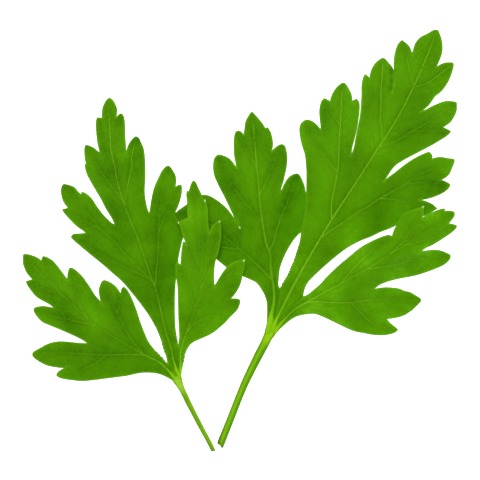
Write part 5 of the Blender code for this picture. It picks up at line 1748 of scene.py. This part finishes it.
@dataclass
class Stalk:
    """Grooved stalk with fine fibres, a crown at the fork and a cut end with two lips."""

    name: str
    node: str
    slot: str
    place: Placement
    stations: tuple[tuple[float, float, float, float, float], ...]
    finish: StalkFinish
    section_points: int = 64
    step: float = 0.2
    channel_depth: float = 0.24
    channel_width: float = 0.2
    notch: float = 0.5
    lip: float = 0.5
    worn: float = 0.85
    fibres: int = 26
    fibre_height: float = 0.012
    squareness: float = 0.35
    crown_reach: Flat = (2.2, 5.5)
    pale_end: Flat = (0.1, 1.0)

    def __post_init__(self) -> None:
        """Draw the stations finely: across, along, width, thickness and axis height, from the fork down."""
        self.line = smooth_line(self.stations, self.step)
        self.crown = 1 - smoothstep(-self.line[:, 1], *self.crown_reach)

    def section(self, i: int) -> tuple[Array, Array]:
        """Draw the section of the stalk at a station.

        Args:
            i: which station of the fine line.

        Returns:
            Rows of (side, up), and the angles.
        """
        _, _, width, thick, _ = self.line[i]
        below = 1 - self.crown[i]
        angle = 2 * math.pi * np.arange(self.section_points) / self.section_points
        side = 0.5 * width * np.cos(angle)
        rise = np.sin(angle)
        up = 0.5 * thick * np.sign(rise) * np.abs(rise) ** (1 - self.squareness * self.crown[i])
        groove = self.channel_depth * min(width, 1.15) * (0.15 + 0.85 * below)
        up -= groove * bell(side, self.channel_width * width) * np.clip(rise * 1.5, 0, 1) * min(1, thick)
        ridge = self.fibre_height * np.cos(self.fibres * angle) * below
        return np.stack([side + ridge * np.cos(angle), up + ridge * rise], 1), angle

    def top_at(self, points: Array) -> Array:
        """Height of the stalk's upper side.

        Args:
            points: rows of x and y in the bunch's frame.

        Returns:
            Heights above the table, none where the stalk isn't.
        """
        own = self.place.to_own(points)
        rows = self.line[::-1]
        across, width, thick, axis = (np.interp(own[:, 1], rows[:, 1], rows[:, k]) for k in (0, 2, 3, 4))
        crown = np.interp(own[:, 1], rows[:, 1], self.crown[::-1])
        side = np.clip(2 * np.abs(own[:, 0] - across) / width, 0, 1)
        up = 0.5 * thick * (1 - side ** 2) ** (0.5 * (1 - self.squareness * crown))
        return np.where((side < 1) & (own[:, 1] < rows[-1, 1]), axis + up, 0)

    def build(self, kit: Kit) -> None:
        """Build and dress the stalk.

        Args:
            kit: shared trees and finishes.
        """
        path = np.column_stack([self.place.to_bunch(self.line), self.line[:, 4]])
        count, around = len(path), self.section_points
        way = np.gradient(path, axis=0)
        way /= np.linalg.norm(way, axis=1)[:, None]
        across = np.cross([0, 0, 1], way)
        across /= np.linalg.norm(across, axis=1)[:, None]
        upward = np.cross(way, across)
        upward *= np.sign(upward[:, 2:3])
        left = run_length(path)[-1] - run_length(path)
        rings, numbers = [], {key: [] for key in ("side", "fibre", "fork", "cut", "blade")}
        for i in range(count):
            shape, angle = self.section(i)
            along, width = self.line[i, 1:3]
            pull = 1 - 0.22 * math.exp(-(left[i] / 0.10) ** 2)
            back = self.notch * bell(shape[:, 0] + 0.08 * width, 0.13 * width) * math.exp(-(left[i] / 0.9) ** 2)
            back -= self.lip * shape[:, 0] / width * math.exp(-(left[i] / 0.7) ** 2)
            ring = across[i] * shape[:, :1] + upward[i] * shape[:, 1:]
            rings.append(path[i] - way[i] * back[:, None] + ring * pull)
            side = shape[:, 0] / (0.5 * width)
            pale = self.crown[i] * float(1 - smoothstep(np.array(along), *self.pale_end))
            worn = math.exp(-(left[i] / 2.6) ** 2) * smoothstep(-side, 0.15, 0.6)
            numbers["side"].append(0.5 + 0.5 * np.where(np.sin(angle) > -0.2, side, np.sign(side)))
            numbers["fibre"].append((0.5 + 0.5 * np.cos(self.fibres * angle)) * (1 - self.crown[i]))
            numbers["fork"].append(pale * (1 - 0.85 * smoothstep(np.abs(side), 0.35, 0.95)))
            numbers["cut"].append(np.maximum(self.worn * worn, 0.6 * math.exp(-(left[i] / 0.3) ** 2)))
            numbers["blade"].append(np.full(around, float(smoothstep(np.array(along), *self.pale_end))))
        faces = []
        for i in range(count - 1):
            for k in range(around):
                n = (k + 1) % around
                faces.append([i * around + k, i * around + n, (i + 1) * around + n, (i + 1) * around + k])
        total = count * around
        for end in (0, count - 1):
            ring, base = rings[end], end * around
            middle = ring.mean(0)
            for share in (0.7, 0.35, 0.0):
                size = around if share else 1
                dish = way[end] * (-0.10 * (1 - share) if end else 0)
                rings.append((middle + (ring - middle) * share + dish)[:size])
                for key, values in numbers.items():
                    values.append(np.full(size, 0.5 if key == "side" else float(key == ("cut" if end else "blade"))))
                for k in range(around):
                    n = (k + 1) % around
                    quad = [base + k, base + n, total + n, total + k] if share else [base + k, base + n, total]
                    faces.append(quad if end else quad[::-1])
                base, total = total, total + size
        points = np.vstack(rings)
        points[:, 2] = np.maximum(points[:, 2], 0.004)
        if turned_in(points, faces):
            faces = [face[::-1] for face in faces]
        obj = mesh_object(self.name, points, faces, numbers={k: np.concatenate(v) for k, v in numbers.items()})
        obj.data.materials.append(self.finish.make())
        settle(obj, self.node)


@dataclass
class Sprig:
    """A stalk and its three leaflets."""

    stalk: Stalk
    middle: Leaflet
    left: Leaflet
    right: Leaflet

    def seam(self, leftward: bool) -> Array:
        """Return the middle leaflet's seam with a side leaflet, in the bunch's frame, in table order."""
        knots = [knot[:2] for knot in self.middle.knots if len(knot) > 2 and knot[2] is Knot.SEAM]
        places = np.array(knots, float)
        turn = int(places[:, 1].argmin())
        split = turn + 1 if places[turn, 0] <= places[min(turn + 1, len(places) - 1), 0] else turn
        return self.middle.place.to_bunch(places[:split] if leftward else places[split:])

    def build(self, kit: Kit) -> None:
        """Build the whole sprig.

        Args:
            kit: shared trees and finishes.
        """
        self.stalk.build(kit)
        self.middle.prepare(None, self.stalk)
        self.left.prepare(self.left.place.to_own(self.seam(True))[::-1], self.stalk)
        self.right.prepare(self.right.place.to_own(self.seam(False))[::-1], self.stalk)
        for leaflet in (self.middle, self.left, self.right):
            leaflet.build(kit)
            LOG.info("%s: %d threads", leaflet.name, len(leaflet.threads))


@dataclass(frozen=True)
class Studio:
    """Plain pale floor, soft light from all round with a gentle key, and the camera straight above."""

    floor_size: float = 4.0
    frame_width: float = 0.096
    distance: float = 2.0
    aim: Flat = (0.096 * MM, 0.016 * MM)
    sensor: float = 36.0
    plane: float = 0.0025
    sky: float = 0.5
    key: float = 1.65
    key_spread: float = 30.0
    key_way: tuple[float, float, float] = (0.12, -0.4, -1.2)
    floor_glow: float = 1.0

    def build(self) -> None:
        """Build the floor, the lights and the camera."""
        self.floor()
        self.lights()
        self.camera()

    def floor(self) -> None:
        """Lay the floor."""
        half = 0.5 * self.floor_size / MM
        floor = mesh_object("floor", np.array([[-half, -half, 0], [half, -half, 0], [half, half, 0], [-half, half, 0]]),
                            [(0, 1, 2, 3)])
        w = Finish("pale_floor")
        colour = w.blend(w.ramp(w.noise(30.0, 2.0), 0.3, 0.7), rgb(250, 250, 250), rgb(252, 252, 252))
        values = {"Base Color": colour, "Roughness": 0.9, "Specular IOR Level": 0.1,
                  "Emission Color": (1, 1, 1, 1), "Emission Strength": self.floor_glow}
        for name, value in values.items():
            w.feed(w.shader, name, value)
        floor.data.materials.append(w.material)

    def lights(self) -> None:
        """Light the scene."""
        scene = bpy.context.scene
        world = bpy.data.worlds.new("studio")
        world.use_nodes = True
        sky = world.node_tree.nodes["Background"]
        sky.inputs["Color"].default_value = (1, 1, 1, 1)
        sky.inputs["Strength"].default_value = self.sky
        scene.world = world
        lamp = bpy.data.lights.new("key", "SUN")
        lamp.energy = self.key
        lamp.angle = math.radians(self.key_spread)
        key = bpy.data.objects.new("key", lamp)
        key.rotation_euler = Vector(self.key_way).to_track_quat("-Z", "Y").to_euler()
        scene.collection.objects.link(key)
        scene.view_settings.view_transform = "Standard"

    def camera(self) -> None:
        """Set the camera straight above, with the leaf tips up."""
        data = bpy.data.cameras.new("camera")
        data.sensor_width = self.sensor
        data.lens = self.sensor * (self.distance - self.plane) / self.frame_width
        data.clip_start, data.clip_end = 0.01, 10.0
        camera = bpy.data.objects.new("camera", data)
        camera.location = (self.aim[0], self.aim[1], self.distance)
        bpy.context.scene.collection.objects.link(camera)
        bpy.context.scene.camera = camera


def large_sprig() -> Sprig:
    """Describe the large sprig, on the right."""
    middle = Leaflet(
        "large_middle", "large_sprig_middle_leaflet", "large_middle_blade", Placement(LARGE_FORK, 28.8),
        LARGE_MIDDLE_OUTLINE, LARGE_MIDDLE_HEIGHTS, LARGE_FORK_HEIGHT, LARGE_MIDDLE_VEINS, 11,
        tone=0.2,
        saws=(Saw((-1.95, 8.4), (-2.35, 13.2), 9, 0.2), Saw((-2.4, 13.6), (-2.9, 16.6), 5, 0.09),
              Saw((2.25, 9.4), (2.2, 11.2), 3, 0.1)),
        fold=((-1.25, 52.45), (-1.43, 53.3), (-1.94, 54.62), (-2.65, 55.92), (-3.15, 56.7)))
    left = Leaflet(
        "large_left", "large_sprig_left_leaflet", "large_left_blade", Placement(LARGE_FORK, -4.6),
        LARGE_LEFT_OUTLINE, LARGE_LEFT_HEIGHTS, LARGE_FORK_HEIGHT, LARGE_LEFT_VEINS, 12,
        tone=-0.2,
        pores=((-4.65, 20.1),))
    right = Leaflet(
        "large_right", "large_sprig_right_leaflet", "large_right_blade", Placement(LARGE_FORK, 61.0),
        LARGE_RIGHT_OUTLINE, LARGE_RIGHT_HEIGHTS, LARGE_FORK_HEIGHT, LARGE_RIGHT_VEINS, 13,
        tone=0.8,
        pores=((-6.1, 38.15),))
    stalk = Stalk("large_stalk", "large_sprig_stem", "large_stem", Placement(LARGE_FORK, 24.0), LARGE_STALK,
                  StalkFinish("large_stalk", LARGE_LIGHT_SHADE_BANDS))
    return Sprig(stalk, middle, left, right)


def small_sprig() -> Sprig:
    """Describe the small sprig, on the left."""
    middle = Leaflet(
        "small_middle", "small_sprig_middle_leaflet", "small_middle_blade", Placement(SMALL_FORK, -14.4),
        SMALL_MIDDLE_OUTLINE, SMALL_MIDDLE_HEIGHTS, SMALL_FORK_HEIGHT, SMALL_MIDDLE_VEINS, 21,
        tone=-0.3,
        saws=(Saw((-1.72, 5.2), (-1.78, 7.2), 3, 0.16), Saw((1.2, 6.6), (1.4, 8.6), 3, 0.07)))
    left = Leaflet(
        "small_left", "small_sprig_left_leaflet", "small_left_blade", Placement(SMALL_FORK, -52.4),
        SMALL_LEFT_OUTLINE, SMALL_LEFT_HEIGHTS, SMALL_FORK_HEIGHT, SMALL_LEFT_VEINS, 22,
        tone=-0.1,
        saws=(Saw((0.62, 4.8), (0.95, 6.9), 3, 0.15),))
    right = Leaflet(
        "small_right", "small_sprig_right_leaflet", "small_right_blade", Placement(SMALL_FORK, 2.7),
        SMALL_RIGHT_OUTLINE, SMALL_RIGHT_HEIGHTS, SMALL_FORK_HEIGHT, SMALL_RIGHT_VEINS, 23,
        tone=0.6,
        saws=(Saw((0.55, 2.6), (0.75, 4.2), 2, 0.14),),
        pores=((6.45, 31.2), (11.7, 23.65), (-1.75, 30.6), (3.3, 35.2)))
    stalk = Stalk("small_stalk", "small_sprig_stem", "small_stem", Placement(SMALL_FORK, -24.0), SMALL_STALK,
                  StalkFinish("small_stalk", SMALL_LIGHT_SHADE_BANDS, crown=rgb(162, 214, 50)), section_points=48,
                  channel_depth=0.1, notch=0.05, lip=0.1, worn=0.25, crown_reach=(2, 4.6), pale_end=(0, 0.8))
    return Sprig(stalk, middle, left, right)


def main() -> None:
    """Build the studio and the bunch, and report each piece."""
    logging.basicConfig(level=logging.INFO, format="%(name)s: %(message)s")
    Studio().build()
    kit = Kit(
        VeinSweep(), PoreSet(), BladeFinish("parsley_blade").make(), VeinFinish("parsley_vein").make(),
        VeinFinish("parsley_rib", rgb(150, 196, 88), rgb(130, 176, 84), rgb(112, 160, 70)).make(),
        PoreFinish("parsley_pore").make())
    for sprig in (large_sprig(), small_sprig()):
        sprig.build(kit)


if __name__ == "__main__":
    main()
